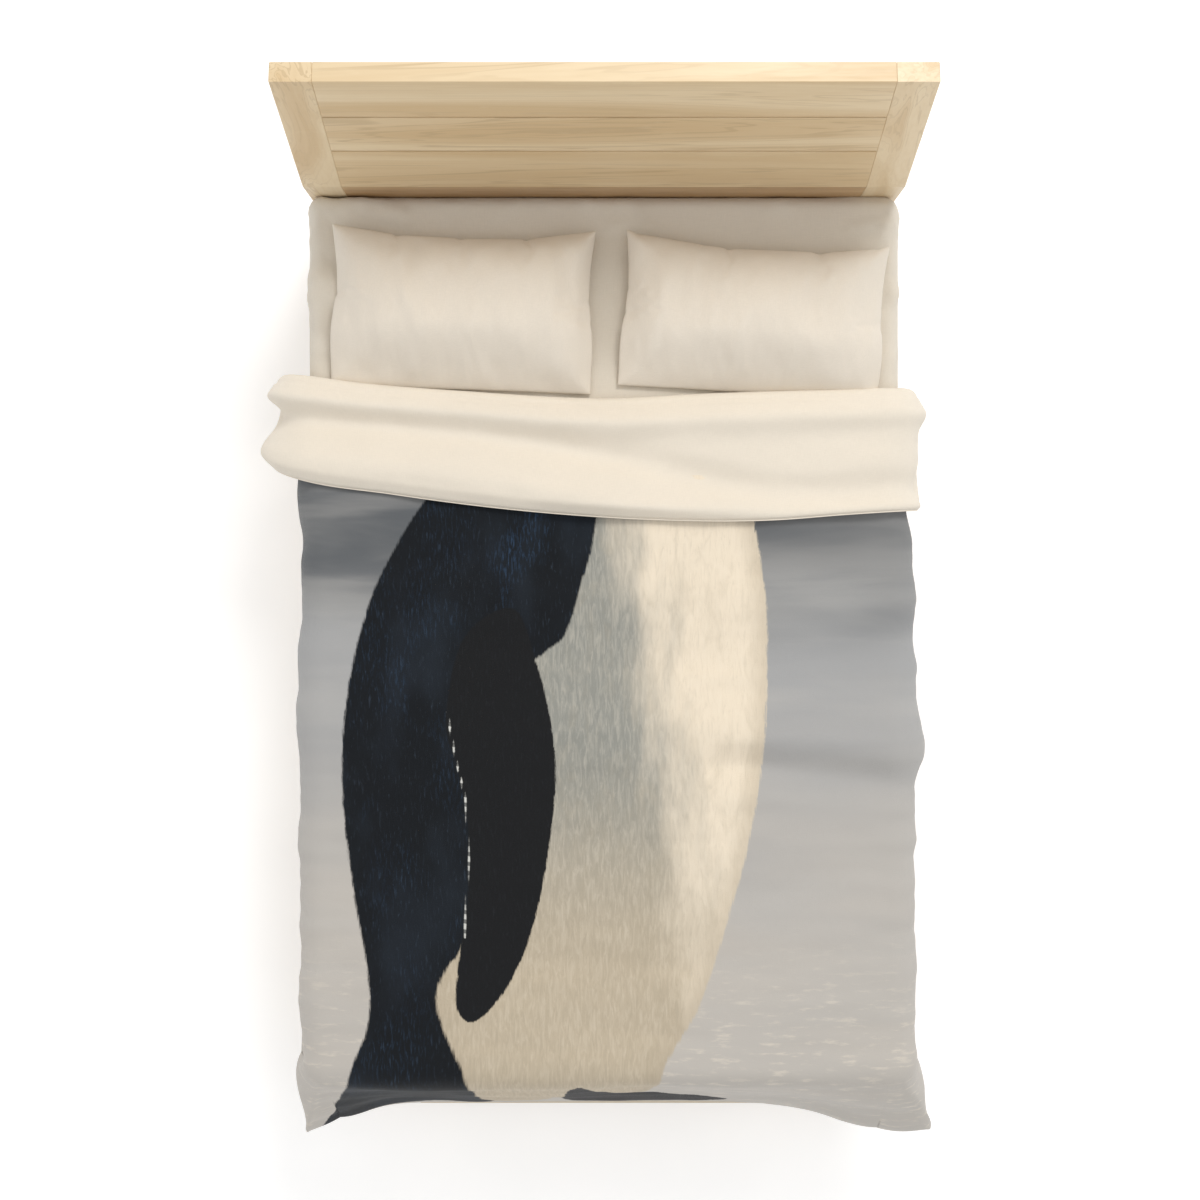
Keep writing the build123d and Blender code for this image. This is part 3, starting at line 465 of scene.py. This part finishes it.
def make_mattress(ticking, piping):
    low, high = np.array(cover_low), np.array(cover_high)
    shape = MATTRESS_CORNER, MATTRESS_EDGE, MATTRESS_UNDER, MATTRESS_COLUMNS
    grid, normals, _ = wrapped_box(low, high, *shape)
    border = np.abs(normals[:, :, 2]) < 0.3
    grid += normals * (0.0012 * roughness(grid, 9.0, 2) * border)[:, :, None]
    rows, columns = grid.shape[:2]
    faces = [tuple(f) for f in grid_faces(rows, columns, closed=True)]
    faces.append(tuple(range(columns))[::-1])
    faces.append(tuple((rows - 1) * columns + i for i in range(columns)))
    piece = new_piece("mattress", grid.reshape(-1, 3), faces, ticking)
    face_outwards(piece)
    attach(piece, "mattress")
    names = ("mattress_cover", "mattress_base_felt", "mattress_spring_unit")
    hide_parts(*names, "mattress_comfort_foam")
    outline, out, _, _ = rounded_outline(low, high, MATTRESS_CORNER, MATTRESS_COLUMNS)
    height = np.full(MATTRESS_COLUMNS, low[2] + PIPING_HEIGHT)
    line = np.column_stack([outline - out * PIPING_RADIUS / 2, height])
    cord = tube("mattress_piping", line, PIPING_RADIUS, piping)
    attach(cord, "mattress")


def make_sheet(material):
    """The fitted sheet: taut over the top, rippled at its corners and where it is pulled."""
    low, high = np.array(sheet_low), np.array(sheet_high)
    shape = SHEET_CORNER, SHEET_EDGE, SHEET_UNDER, SHEET_COLUMNS
    grid, normals, around = wrapped_box(low, high, *shape)
    rows, columns = grid.shape[:2]
    x, y, z = grid[:, :, 0], grid[:, :, 1], grid[:, :, 2]
    inset = 0.03
    to_end = np.minimum(abs(y - (high[1] - inset)), abs(y - (low[1] + inset)))
    to_corner = np.hypot(np.abs(x) - (HALF_BED - inset), to_end)
    # the sheet's top: long soft ripples that run across the bed near the headboard
    on_top = smooth(normals[:, :, 2], 0.3, 0.9)
    ripple = roughness(grid * (1.0, 2.6, 1.0), 3.0, 11)
    ripple = ripple + 0.45 * roughness(grid * (2.2, 1.0, 1.0), 7.0, 5)
    pulls = roughness(grid * (1.0, 1.0, 0.2), 16.0, 8) * np.exp(-to_corner / 0.16)
    # the sheet's sides: upright puckers that the elastic gathers
    low_down = 1 - smooth(z, low[2], high[2] - 0.02)
    pucker = np.sin(around * 2 * math.pi / PUCKER_SPACING + 2.4 * np.sin(around * 5.0))[None, :]
    on_side = 1 - np.abs(normals[:, :, 2])
    at_head = smooth(y, high[1] - 0.50, high[1] - 0.38)
    lift = at_head * (0.0220 * ripple * on_top + 0.0120 * pulls)
    lift += on_side * (0.0022 * pucker * low_down**1.6 + 0.0024 * roughness(grid, 5.0, 4))
    head = smooth(y, high[1] - 0.05, high[1])
    grid += normals * (np.maximum(lift, -0.0009) * (1 - 0.8 * head * on_side))[:, :, None]
    faces = [tuple(f) for f in grid_faces(rows, columns, closed=True)]
    faces.append(tuple(range(columns))[::-1])
    piece = new_piece("fitted_sheet_cloth", grid.reshape(-1, 3), faces, material)
    face_outwards(piece)
    thicken(piece, SHEET_THICKNESS)
    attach(piece, "mattress")
    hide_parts("fitted_sheet")


# ---- pillows -------------------------------------------------------------------------
PILLOW_FLAT = {"left": (0.635, 0.388), "right": (0.635, 0.368)}
PILLOW_TURN = {"left": -1.7, "right": -3.8}  # degrees
PILLOW_FRAMES = 14
PILLOW_BELOW = 0.045  # its seam's height above the bed


def pillow_envelope(name, seed, size):
    """Two flat layers of cloth sewn together round their edge."""
    columns, rows = 78, 48
    width, depth = size
    u, v = np.meshgrid(np.linspace(-1, 1, columns), np.linspace(-1, 1, rows))
    gap = 0.012 * (1 - u**4) * (1 - v**4)
    plan = np.stack([u * width / 2, v * depth / 2, np.zeros_like(u)], axis=-1)
    uneven = 1 + 0.35 * roughness(plan, 9.0, seed)
    vertices, index = [], {}
    for side in (1, -1):
        for r in range(rows):
            for c in range(columns):
                edge = r in (0, rows - 1) or c in (0, columns - 1)
                key = (r, c, 0 if edge else side)
                if key not in index:
                    index[key] = len(vertices)
                    vertices.append((plan[r, c, 0], plan[r, c, 1], side * gap[r, c] * uneven[r, c]))
    faces = []
    for side in (1, -1):
        for r in range(rows - 1):
            for c in range(columns - 1):
                corners = [(r, c), (r, c + 1), (r + 1, c + 1), (r + 1, c)]
                ids = []
                for a, b in corners:
                    edge = a in (0, rows - 1) or b in (0, columns - 1)
                    ids.append(index[(a, b, 0 if edge else side)])
                faces.append(tuple(ids if side > 0 else ids[::-1]))
    return new_piece(name, vertices, faces)


def make_pillow(side, seed, material):
    """A pillow blown up from its flat envelope by cloth simulation, resting on the bed."""
    low, high = (np.array(c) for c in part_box(f"pillowcase_{side}"))
    centre, turn = (low + high) / 2, PILLOW_TURN[side]
    piece = pillow_envelope(f"pillow_{side}", seed, PILLOW_FLAT[side])
    flat = vertex_points(piece)
    piece.data.materials.append(material)
    inflate(piece)
    settle(piece, flat, low[2] + 0.001, seed)
    piece.location = (centre[0], centre[1], 0)
    piece.rotation_euler = (0, 0, math.radians(turn))
    bpy.context.view_layer.update()
    piece.data.transform(piece.matrix_world)
    piece.matrix_world.identity()
    smoother = piece.modifiers.new("smoother", "SUBSURF")
    smoother.levels = smoother.render_levels = 1
    apply_modifiers(piece)
    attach(piece, f"pillow_{side}")
    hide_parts(f"pillowcase_{side}", f"pillow_filling_{side}")


def inflate(piece):
    """Blows the envelope up, weightless, and keeps the shape that its cloth takes."""
    cloth = piece.modifiers.new("cloth", "CLOTH")
    settings = cloth.settings
    settings.quality = 7
    settings.mass = 0.02
    settings.tension_stiffness = settings.compression_stiffness = 15
    settings.shear_stiffness = 5
    settings.bending_stiffness = 0.5
    settings.use_pressure = True
    settings.uniform_pressure_force = 60
    settings.effector_weights.gravity = 0
    cloth.collision_settings.use_collision = False
    cloth.point_cache.frame_end = PILLOW_FRAMES
    scene = bpy.context.scene
    for number in range(1, PILLOW_FRAMES + 1):
        scene.frame_set(number)
    apply_modifiers(piece)
    scene.frame_set(1)


def vertex_points(piece):
    points = np.zeros(len(piece.data.vertices) * 3)
    piece.data.vertices.foreach_get("co", points)
    return points.reshape(-1, 3)


def settle(piece, flat, rest, seed):
    """Weight of the filling: the pillow sinks, and is flat where it lies on the bed.

    A half full pillow draws its sides in less than the blown up one, and least of all
    at its foot end, which leans on the folded duvet.
    """
    points = vertex_points(piece)
    drawn_in = 0.05 + 0.50 * smooth(flat[:, 1], -0.12, 0.12)
    points[:, :2] += (flat[:, :2] - points[:, :2]) * (1 - drawn_in)[:, None]
    z = points[:, 2]
    above, below = 0.68 * z.clip(0), -0.50 * z.clip(None, 0)
    sunk = PILLOW_BELOW * np.tanh(1.6 * below / PILLOW_BELOW)
    half_width, half_depth = flat[:, 0].max(), flat[:, 1].max()
    to_side = np.minimum(half_width - np.abs(flat[:, 0]), half_depth - np.abs(flat[:, 1]))
    creases = 0.0130 * roughness(points * (1.0, 0.5, 0.0), 15.0, seed) * np.exp(-to_side / 0.07)
    creases += 0.0120 * roughness(points * (1.0, 0.6, 0.0), 5.0, seed + 20)
    creases += 0.0050 * roughness(points * (1.0, 0.35, 0.0), 26.0, seed + 40, 2)
    at_foot = smooth(-flat[:, 1], 0.04, 0.19)
    seam_height = PILLOW_BELOW - (PILLOW_BELOW - 0.010) * at_foot
    lifted = seam_height + above - sunk + creases * smooth(z, 0.0, 0.05)
    points[:, 2] = rest + lifted.clip(0)
    points[:, 0] *= 1 - 0.040 * smooth(-flat[:, 1], -0.10, 0.18)
    piece.data.vertices.foreach_set("co", points.ravel())
    piece.data.update()


# ---- duvet ---------------------------------------------------------------------------
CAMERA_Y = FACE_Y - CAMERA_FROM_FACE  # Y below is measured from here
DUVET_HALF = 0.830  # half of its filled width
LOFT = 0.0125  # half of its thickness
STRAIGHT_HALF = 0.6555  # where it starts to bend down at each side
FOOT_START = MATTRESS_FOOT - CAMERA_Y + 0.0183  # where it starts to bend down at the foot
FOOT_DROP = 0.350
BODY_OUT, CUFF_OUT = 0.013, 0.041  # from the duvet's underside to the middle of each layer
UNDERSIDE = SHEET_TOP + 0.0005
BEND = 0.040  # radius where it goes over the mattress edge
FOOT_TILT = math.degrees(math.atan2(0.0991, 0.268))  # of the foot wall, from upright
SEAM_HALF, PANEL = 0.0008, 0.0009  # half thickness at the seam, and of one panel's cloth
EDGE_WIDTH = 0.045  # over which it thins to the seam
SEAM_CORD = 0.0017
ROW_PITCH = 0.0085  # between rows, near enough for the seam
DUVET_COLUMNS = 187
FOOT_ROWS, BODY_ROWS, FOLD_ROWS, CUFF_ROWS = 40, 172, 14, 42

# X or flat width, then distance from the camera's axis towards the headboard
FOLD_LINE = ((-0.84, 0.530), (-0.72, 0.524), (-0.55, 0.502), (-0.30, 0.482), (0.0, 0.466))
FOLD_LINE += ((0.28, 0.478), (0.55, 0.486), (0.84, 0.496))
CUFF_HEM = ((-0.84, 0.340), (-0.70, 0.283), (-0.47, 0.244), (-0.10, 0.200), (0.10, 0.187))
CUFF_HEM += ((0.41, 0.185), (0.57, 0.197), (0.84, 0.214))
VALLEY = ((-0.84, 0.42), (-0.5, 0.30), (-0.1, 0.36), (0.12, 0.50), (0.35, 0.72), (0.84, 0.80))


def bend_down(distance, radius, tilt):
    """How far out and how far down cloth is after it goes over an edge."""
    turn = math.pi / 2 - tilt
    on_arc = np.clip(distance / radius, 0, turn)
    hanging = np.maximum(distance - radius * turn, 0)
    out = radius * np.sin(on_arc) + hanging * np.sin(tilt)
    down = radius * (1 - np.cos(on_arc)) + hanging * np.cos(tilt)
    return out, down


def duvet_layer_point(u, y, out, over_foot):
    """Points of one layer: flat distance across, Y on the bed, and distance past the foot."""
    side = np.where(u < 0, -1.0, 1.0)
    past_side = np.maximum(np.abs(u) - STRAIGHT_HALF, 0)
    reach = np.hypot(past_side, over_foot)
    angle = np.degrees(np.arctan2(over_foot, past_side + 1e-9))
    tip = 63.5
    tip_tilt = np.where(side < 0, 36.0, 38.5)
    tip_way = np.where(side < 0, 70.0, 58.0)
    spread = np.where(side < 0, 0.09, 0.15)
    near_corner = np.exp(-(((STRAIGHT_HALF - np.abs(u)).clip(0) / spread) ** 2))
    flare = np.where(side < 0, 8.0, 12.0)
    foot_tilt = FOOT_TILT + flare * near_corner
    at_corner = FOOT_TILT + flare
    side_tilt = 3.0 + 2.5 * np.sin(y * 9.0 + side) + 4.0 * np.exp(-(((y + 1.08) / 0.12) ** 2))
    rising, falling = smooth(angle, 0, tip), smooth(angle, tip, 90)
    corner_tilt = side_tilt + (tip_tilt - side_tilt) * rising + (at_corner - tip_tilt) * falling
    tilt = np.where(past_side > 0, corner_tilt, foot_tilt)
    way = np.where(angle < tip, tip_way * rising, tip_way + (90 - tip_way) * falling)
    way = np.radians(np.where(past_side > 0, way, 90.0))
    away, down = bend_down(reach, BEND + out, np.radians(tilt))
    x = side * (np.minimum(np.abs(u), STRAIGHT_HALF) + away * np.cos(way))
    return np.stack([x, y - away * np.sin(way), UNDERSIDE + out - down], axis=-1)


def duvet_middle():
    """The duvet's middle surface, row by row from the foot hem to the cuff's hem.

    Also returns, for each point, the flat distance along, and its place on the cuff from
    0 at the fold to 1 at the hem, negative off the cuff.
    """
    u = np.linspace(-DUVET_HALF, DUVET_HALF, DUVET_COLUMNS)
    fold, hem = curve_through(FOLD_LINE, u), curve_through(CUFF_HEM, u)
    radius = (CUFF_OUT - BODY_OUT) / 2
    fold_centre = fold - radius - LOFT
    rows, along, on_cuff = [], [], []
    for drop in np.linspace(FOOT_DROP, 0, FOOT_ROWS)[:-1]:
        start = np.full_like(u, FOOT_START)
        rows.append(duvet_layer_point(u, start, BODY_OUT, drop))
        along.append(start - drop)
        on_cuff.append(np.full_like(u, -1.0))
    for t in np.linspace(0, 1, BODY_ROWS):
        y = FOOT_START + (fold_centre - FOOT_START) * t
        rows.append(duvet_layer_point(u, y, BODY_OUT, 0 * u))
        along.append(y)
        on_cuff.append(np.full_like(u, -1.0))
    for turn in np.linspace(0, math.pi, FOLD_ROWS)[1:-1]:
        out = BODY_OUT + radius * (1 - math.cos(turn))
        rows.append(duvet_layer_point(u, fold_centre + radius * math.sin(turn), out, 0 * u))
        along.append(fold_centre + radius * turn)
        on_cuff.append(np.zeros_like(u))
    for t in np.linspace(0, 1, CUFF_ROWS):
        y = fold_centre + (hem - fold_centre) * t
        rows.append(duvet_layer_point(u, y, CUFF_OUT, 0 * u))
        along.append(fold_centre + radius * math.pi + fold_centre - y)
        on_cuff.append(np.full_like(u, max(t, 1e-6)))
    middle, along, on_cuff = np.array(rows), np.array(along), np.array(on_cuff)
    cuff, u = on_cuff >= 0, np.broadcast_to(u, along.shape)
    # the duvet lies a little to the right of the bed's middle and its cuff to the left
    middle[:, :, 0] += np.where(cuff, -0.016, 0.010 * smooth(-along, -0.45, -0.15))
    tucked = smooth(along, 0.13, 0.25) * smooth(u, 0.35, 0.66)
    middle[:, :, 0] -= np.where(cuff, 0.0, 0.026 * tucked)
    # the cuff's ends swing out at their hem
    swing = smooth(on_cuff, 0.2, 1.0) * smooth(np.abs(u), 0.66, DUVET_HALF)
    middle[:, :, 0] += np.where(u < 0, -0.025, 0.014) * swing
    middle[:, :, 2] += 0.010 * swing
    return middle, u, along, on_cuff


def surface_normals(grid):
    across = np.gradient(grid, axis=1)
    along = np.gradient(grid, axis=0)
    normal = np.cross(across, along)
    return normal / np.linalg.norm(normal, axis=2)[:, :, None]


def duvet_loft(u, rows):
    """Half thickness: full inside and drawn in to the seam round the edge."""
    row = np.arange(rows)[:, None] * np.ones_like(u)
    to_side = DUVET_HALF - np.abs(u)
    to_end = np.minimum(row, rows - 1 - row) * ROW_PITCH
    edge = np.clip(np.minimum(to_side, to_end) / EDGE_WIDTH, 0, 1)
    return SEAM_HALF + (LOFT - SEAM_HALF) * np.sqrt(1 - (1 - edge) ** 2), edge


def duvet_waves(middle, u, along, on_cuff, edge):
    """Soft swells of the upper face, in metres, on the bed and on the cuff."""
    flat = np.stack([u, along, 0 * u], axis=-1)
    broad = roughness(flat * (1.0, 1.7, 1.0), 1.9, 3)
    cross_folds = roughness(flat * (0.55, 2.6, 1.0), 3.0, 6)
    small = roughness(flat, 11.0, 9)
    body = 0.0085 * broad + 0.0095 * cross_folds + 0.0013 * small
    # one deep fold on the right: a dip with a crest above it
    slope = 0.10 * (u - 0.45)
    dip = bell(along, -0.40 - slope, 0.045) * smooth(u, 0.14, 0.34) * (1 - smooth(u, 0.60, 0.74))
    crest = bell(along, -0.31 - slope, 0.060) * smooth(u, 0.10, 0.34)
    body += 0.014 * crest - 0.021 * dip
    body -= 0.008 * bell(along, 0.135, 0.045) * bell(u, -0.66, 0.11)
    t, valley = on_cuff, curve_through(VALLEY, u)
    cuff = 0.022 * bell(t, 0.13, 0.12) - 0.021 * bell(t, valley, 0.15)
    cuff = cuff + 0.020 * bell(t, valley + 0.45, 0.2)
    cuff += 0.0045 * roughness(flat * (1.0, 2.0, 1.0), 4.5, 15) + 0.0012 * small
    return np.where(on_cuff >= 0, cuff, body) * smooth(edge, 0.0, 0.9)


def closed_curve(points, per_span=10):
    """A smooth closed loop through given points (Catmull-Rom)."""
    p = np.array(points, float)
    before, after, later = np.roll(p, 1, 0), np.roll(p, -1, 0), np.roll(p, -2, 0)
    loop = []
    for t in np.linspace(0, 1, per_span, endpoint=False):
        part = 2 * p + (after - before) * t + (2 * before - 5 * p + 4 * after - later) * t**2
        loop.append((part + (3 * p - before - 3 * after + later) * t**3) / 2)
    return np.stack(loop, axis=1).reshape(-1, 2)


def distance_to(points, loop, closed=True):
    """Distance from flat points to a line, positive inside it if it is closed."""
    start, end = (loop, np.roll(loop, -1, 0)) if closed else (loop[:-1], loop[1:])
    nearest = np.full(len(points), 9.0)
    inside = np.zeros(len(points), bool)
    for a, b in zip(start, end):
        along = b - a
        t = np.clip(((points - a) @ along) / (along @ along + 1e-12), 0, 1)
        nearest = np.minimum(nearest, np.linalg.norm(points - a - t[:, None] * along, axis=1))
        crosses = (a[1] > points[:, 1]) != (b[1] > points[:, 1])
        rise = b[1] - a[1] if abs(b[1] - a[1]) > 1e-12 else 1e-12
        inside ^= crosses & (points[:, 0] < a[0] + along[0] * (points[:, 1] - a[1]) / rise)
    return np.where(inside, nearest, -nearest) if closed else nearest


# Outlines of the picture in flat metres: across from the middle, along from the camera's
# axis. Their points are picked to follow the print; their tops lie under the cuff.
BACK_SHAPE = (
    (-0.30, 0.48), (-0.39, 0.28), (-0.47, 0.16), (-0.55, 0.00), (-0.60, -0.20), (-0.615, -0.42),
    (-0.59, -0.66), (-0.555, -0.86), (-0.555, -0.98), (-0.60, -1.10), (-0.66, -1.30),
    (-0.76, -1.44), (-0.60, -1.40), (-0.42, -1.37), (-0.28, -1.38), (-0.30, -1.16),
    (-0.345, -1.03), (-0.378, -0.92), (-0.368, -0.85), (-0.335, -0.79), (-0.28, -0.60),
    (-0.25, -0.40), (-0.20, -0.18), (-0.145, -0.12), (-0.10, -0.08), (-0.065, 0.03),
    (-0.03, 0.17), (0.00, 0.48),
)
BELLY_SHAPE = (
    (-0.10, 0.48), (0.28, 0.46), (0.335, 0.19), (0.365, 0.00), (0.368, -0.16), (0.355, -0.38),
    (0.32, -0.58), (0.27, -0.76), (0.21, -0.94), (0.13, -1.08), (0.09, -1.22), (0.00, -1.29),
    (-0.16, -1.31), (-0.30, -1.33), (-0.36, -1.10), (-0.40, -0.90), (-0.30, -0.30), (-0.14, 0.10),
)
FLIPPER_SHAPE = (
    (-0.22, -0.02), (-0.165, -0.15), (-0.135, -0.27), (-0.122, -0.40), (-0.135, -0.56),
    (-0.165, -0.72), (-0.205, -0.84), (-0.260, -0.93), (-0.315, -0.975), (-0.350, -0.94),
    (-0.345, -0.84), (-0.325, -0.68), (-0.325, -0.52), (-0.348, -0.39), (-0.375, -0.28),
    (-0.335, -0.09),
)
TUFT_SHAPE = (
    (-0.345, -0.83), (-0.395, -0.90), (-0.385, -0.98), (-0.35, -1.06), (-0.32, -1.15),
    (-0.295, -1.36), (-0.14, -1.33), (-0.18, -1.05), (-0.27, -0.93),
)
FOOT_SHAPES = (
    ((-0.095, -1.19), (-0.065, -1.13), (-0.035, -1.20), (0.03, -1.28), (-0.09, -1.30)),
    ((-0.10, -1.27), (0.02, -1.255), (0.14, -1.29), (0.29, -1.345), (0.12, -1.40), (-0.08, -1.38)),
)
FLIPPER_EDGE = ((-0.372, -0.26), (-0.352, -0.37), (-0.330, -0.46), (-0.322, -0.60), (-0.332, -0.78))


def add_flat_map(mesh, flat):
    """Stores each point's place on the flat cloth as the map called flat."""
    layer = mesh.uv_layers.new(name="flat")
    corners = np.zeros(len(mesh.loops), int)
    mesh.loops.foreach_get("vertex_index", corners)
    layer.data.foreach_set("uv", flat[corners].ravel())


def add_picture(mesh, flat):
    """Stores the distance to each of the picture's outlines on the mesh."""
    shapes = {
        "back": distance_to(flat, closed_curve(BACK_SHAPE)),
        "belly": distance_to(flat, closed_curve(BELLY_SHAPE)),
        "flipper": distance_to(flat, closed_curve(FLIPPER_SHAPE)),
        "tuft": distance_to(flat, closed_curve(TUFT_SHAPE)),
        "feet": np.max([distance_to(flat, closed_curve(s)) for s in FOOT_SHAPES], axis=0),
        "flipper_edge": distance_to(flat, np.array(FLIPPER_EDGE), closed=False),
    }
    for name, values in shapes.items():
        mesh.attributes.new(name, "FLOAT", "POINT").data.foreach_set("value", values)


def make_duvet(front_material, back_material):
    middle, u, along, on_cuff = duvet_middle()
    normals = surface_normals(middle)
    loft, edge = duvet_loft(u, len(middle))
    waves = duvet_waves(middle, u, along, on_cuff, edge)
    cuff = (on_cuff > 0)[:, :, None]
    spread = (waves * np.ones_like(u))[:, :, None]
    outer = middle + normals * (loft[:, :, None] + np.where(cuff, 0, spread))
    inner = middle - normals * (loft[:, :, None] + np.where(cuff, spread, 0))
    for grid in (middle, outer, inner):
        grid[:, :, 1] += CAMERA_Y
    rows, columns = u.shape
    flat = np.stack([u, along], axis=-1).reshape(-1, 2)
    faces = grid_faces(rows, columns)
    front = new_piece("duvet_front", outer.reshape(-1, 3), faces, front_material)
    add_flat_map(front.data, flat)
    add_picture(front.data, flat)
    back = new_piece("duvet_back", inner.reshape(-1, 3), faces[:, ::-1], back_material)
    add_flat_map(back.data, flat)
    for piece, slot, replaced in (
        (front, "duvet_front_print", ("duvet_cover_front", "duvet_filling")),
        (back, "duvet_back_linen", ("duvet_cover_back",)),
    ):
        thicken(piece, PANEL)
        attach(piece, "duvet")
        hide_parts(*replaced)
    edges = [middle[0, :-1], middle[:-1, -1], middle[-1, ::-1][:-1], middle[::-1, 0][:-1]]
    seam = tube("duvet_seam", np.concatenate(edges), SEAM_CORD, back_material)
    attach(seam, "duvet")


# ---- stage ---------------------------------------------------------------------------
FLOOR_GLOW = 0.26  # so that the pale floor reads white
WORLD_STRENGTH = 0.72
FLOOR_REACH = 30.0


def add_stage():
    s = Shader("floor")
    mottle = s.noise(s.coords(), 3.0, 2.0, 0.5)
    tone = s.mix(s.step(mottle, 0.3, 0.7), srgb(252, 252, 252), srgb(249, 249, 249))
    s.set(Emission_Color=(1, 1, 1, 1), Emission_Strength=FLOOR_GLOW)
    s.finish(tone, 0.9)
    reach = FLOOR_REACH
    corners = [(-reach, -reach, 0), (reach, -reach, 0), (reach, reach, 0), (-reach, reach, 0)]
    new_piece("floor", corners, [(0, 1, 2, 3)], s.material)


def add_light(name, place, aim, size, power, colour=(1, 1, 1)):
    data = bpy.data.lights.new(name, "AREA")
    data.size, data.energy, data.color = size, power, colour
    light = bpy.data.objects.new(name, data)
    light.location = place
    toward = Vector(aim) - Vector(place)
    light.rotation_euler = toward.to_track_quat("-Z", "Y").to_euler()
    bpy.context.scene.collection.objects.link(light)


def add_lights():
    world = bpy.data.worlds.new("studio")
    bpy.context.scene.world = world
    world.use_nodes = True
    world.node_tree.nodes["Background"].inputs["Color"].default_value = (1, 1, 1, 1)
    world.node_tree.nodes["Background"].inputs["Strength"].default_value = WORLD_STRENGTH
    add_light("key", (1.5, 4.2, 6.0), (0.0, 0.0, 0.5), 2.2, 185, (1.0, 0.99, 0.97))
    add_light("top", (0.0, -0.2, 7.5), (0.0, 0.0, 0.5), 5.0, 45)


# ---- the frame's own materials -------------------------------------------------------
MAPLE, MAPLE_DARK = srgb(229, 209, 174), srgb(209, 181, 138)
# a darker copy of the maple for the headboard's back board below its knee: painted shade
MAPLE_PAINTED_SHADE = srgb(204, 172, 128), srgb(182, 146, 102)
PINE, PINE_DARK = srgb(232, 204, 158), srgb(206, 168, 116)


def finish_frame(cream):
    upright = ("headboard_stile_left", "headboard_stile_right", "foot_post_left", "foot_post_right")
    along_y = ("side_rail_left", "side_rail_right")
    for number, (name, node) in enumerate(sorted(nodes.items())):
        if name.startswith(("headboard", "head_cross", "side_rail", "foot_rail", "foot_post")):
            way = "Z" if name in upright else "Y" if name in along_y else "X"
            # the back board takes the darker maple copy: painted shade where it sits low by the
            # sheet
            tones = MAPLE_PAINTED_SHADE if name == "headboard_back_board" else (MAPLE, MAPLE_DARK)
            material = wood(f"maple_{name}", way, number, *tones)
        elif name.startswith(("slat_", "centre_")):
            lengthwise = name == "centre_beam" or "ledger" in name
            way = "Z" if "leg" in name else "Y" if lengthwise else "X"
            material = wood(f"pine_{name}", way, number, PINE, PINE_DARK, 0.6)
        elif name in ("barrel_nuts", "bed_bolts", "ledger_screws"):
            material = plain(f"zinc_{name}", srgb(196, 198, 200), 0.32, 1.0, 120.0, 0.0001)
        elif name.startswith("beam_hanger"):
            material = plain(f"steel_{name}", srgb(58, 58, 60), 0.5, 0.0, 500.0)
        elif name == "floor_glides":
            material = plain("felt", srgb(128, 122, 114), 0.95, 0.0, 700.0, 0.0008)
        elif name in ("zip_slider", "zip_pull", "zip_stops"):
            material = plain(f"metal_{name}", srgb(206, 204, 198), 0.3, 1.0, 200.0, 0.00005)
        elif name.startswith("zip") or name == "fitted_sheet_elastic":
            material = cream
        else:
            continue
        node.data.materials.clear()
        node.data.materials.append(material)


bpy.context.scene.view_settings.view_transform = "Standard"
add_camera()
cream_tape = cotton("tape", srgb(236, 224, 204), weave=1400.0)
finish_frame(cream_tape)
make_mattress(cotton("ticking", srgb(238, 234, 226)), cotton("piping", srgb(214, 204, 188)))
make_sheet(cotton("sheet", srgb(230, 221, 206)))
pillow_cotton = cotton("pillow_cotton", srgb(238, 228, 213))
make_pillow("left", 1, pillow_cotton)
make_pillow("right", 2, pillow_cotton)
make_duvet(picture(), cotton("duvet_back_cotton", srgb(242, 232, 216), source="flat"))
add_stage()
add_lights()
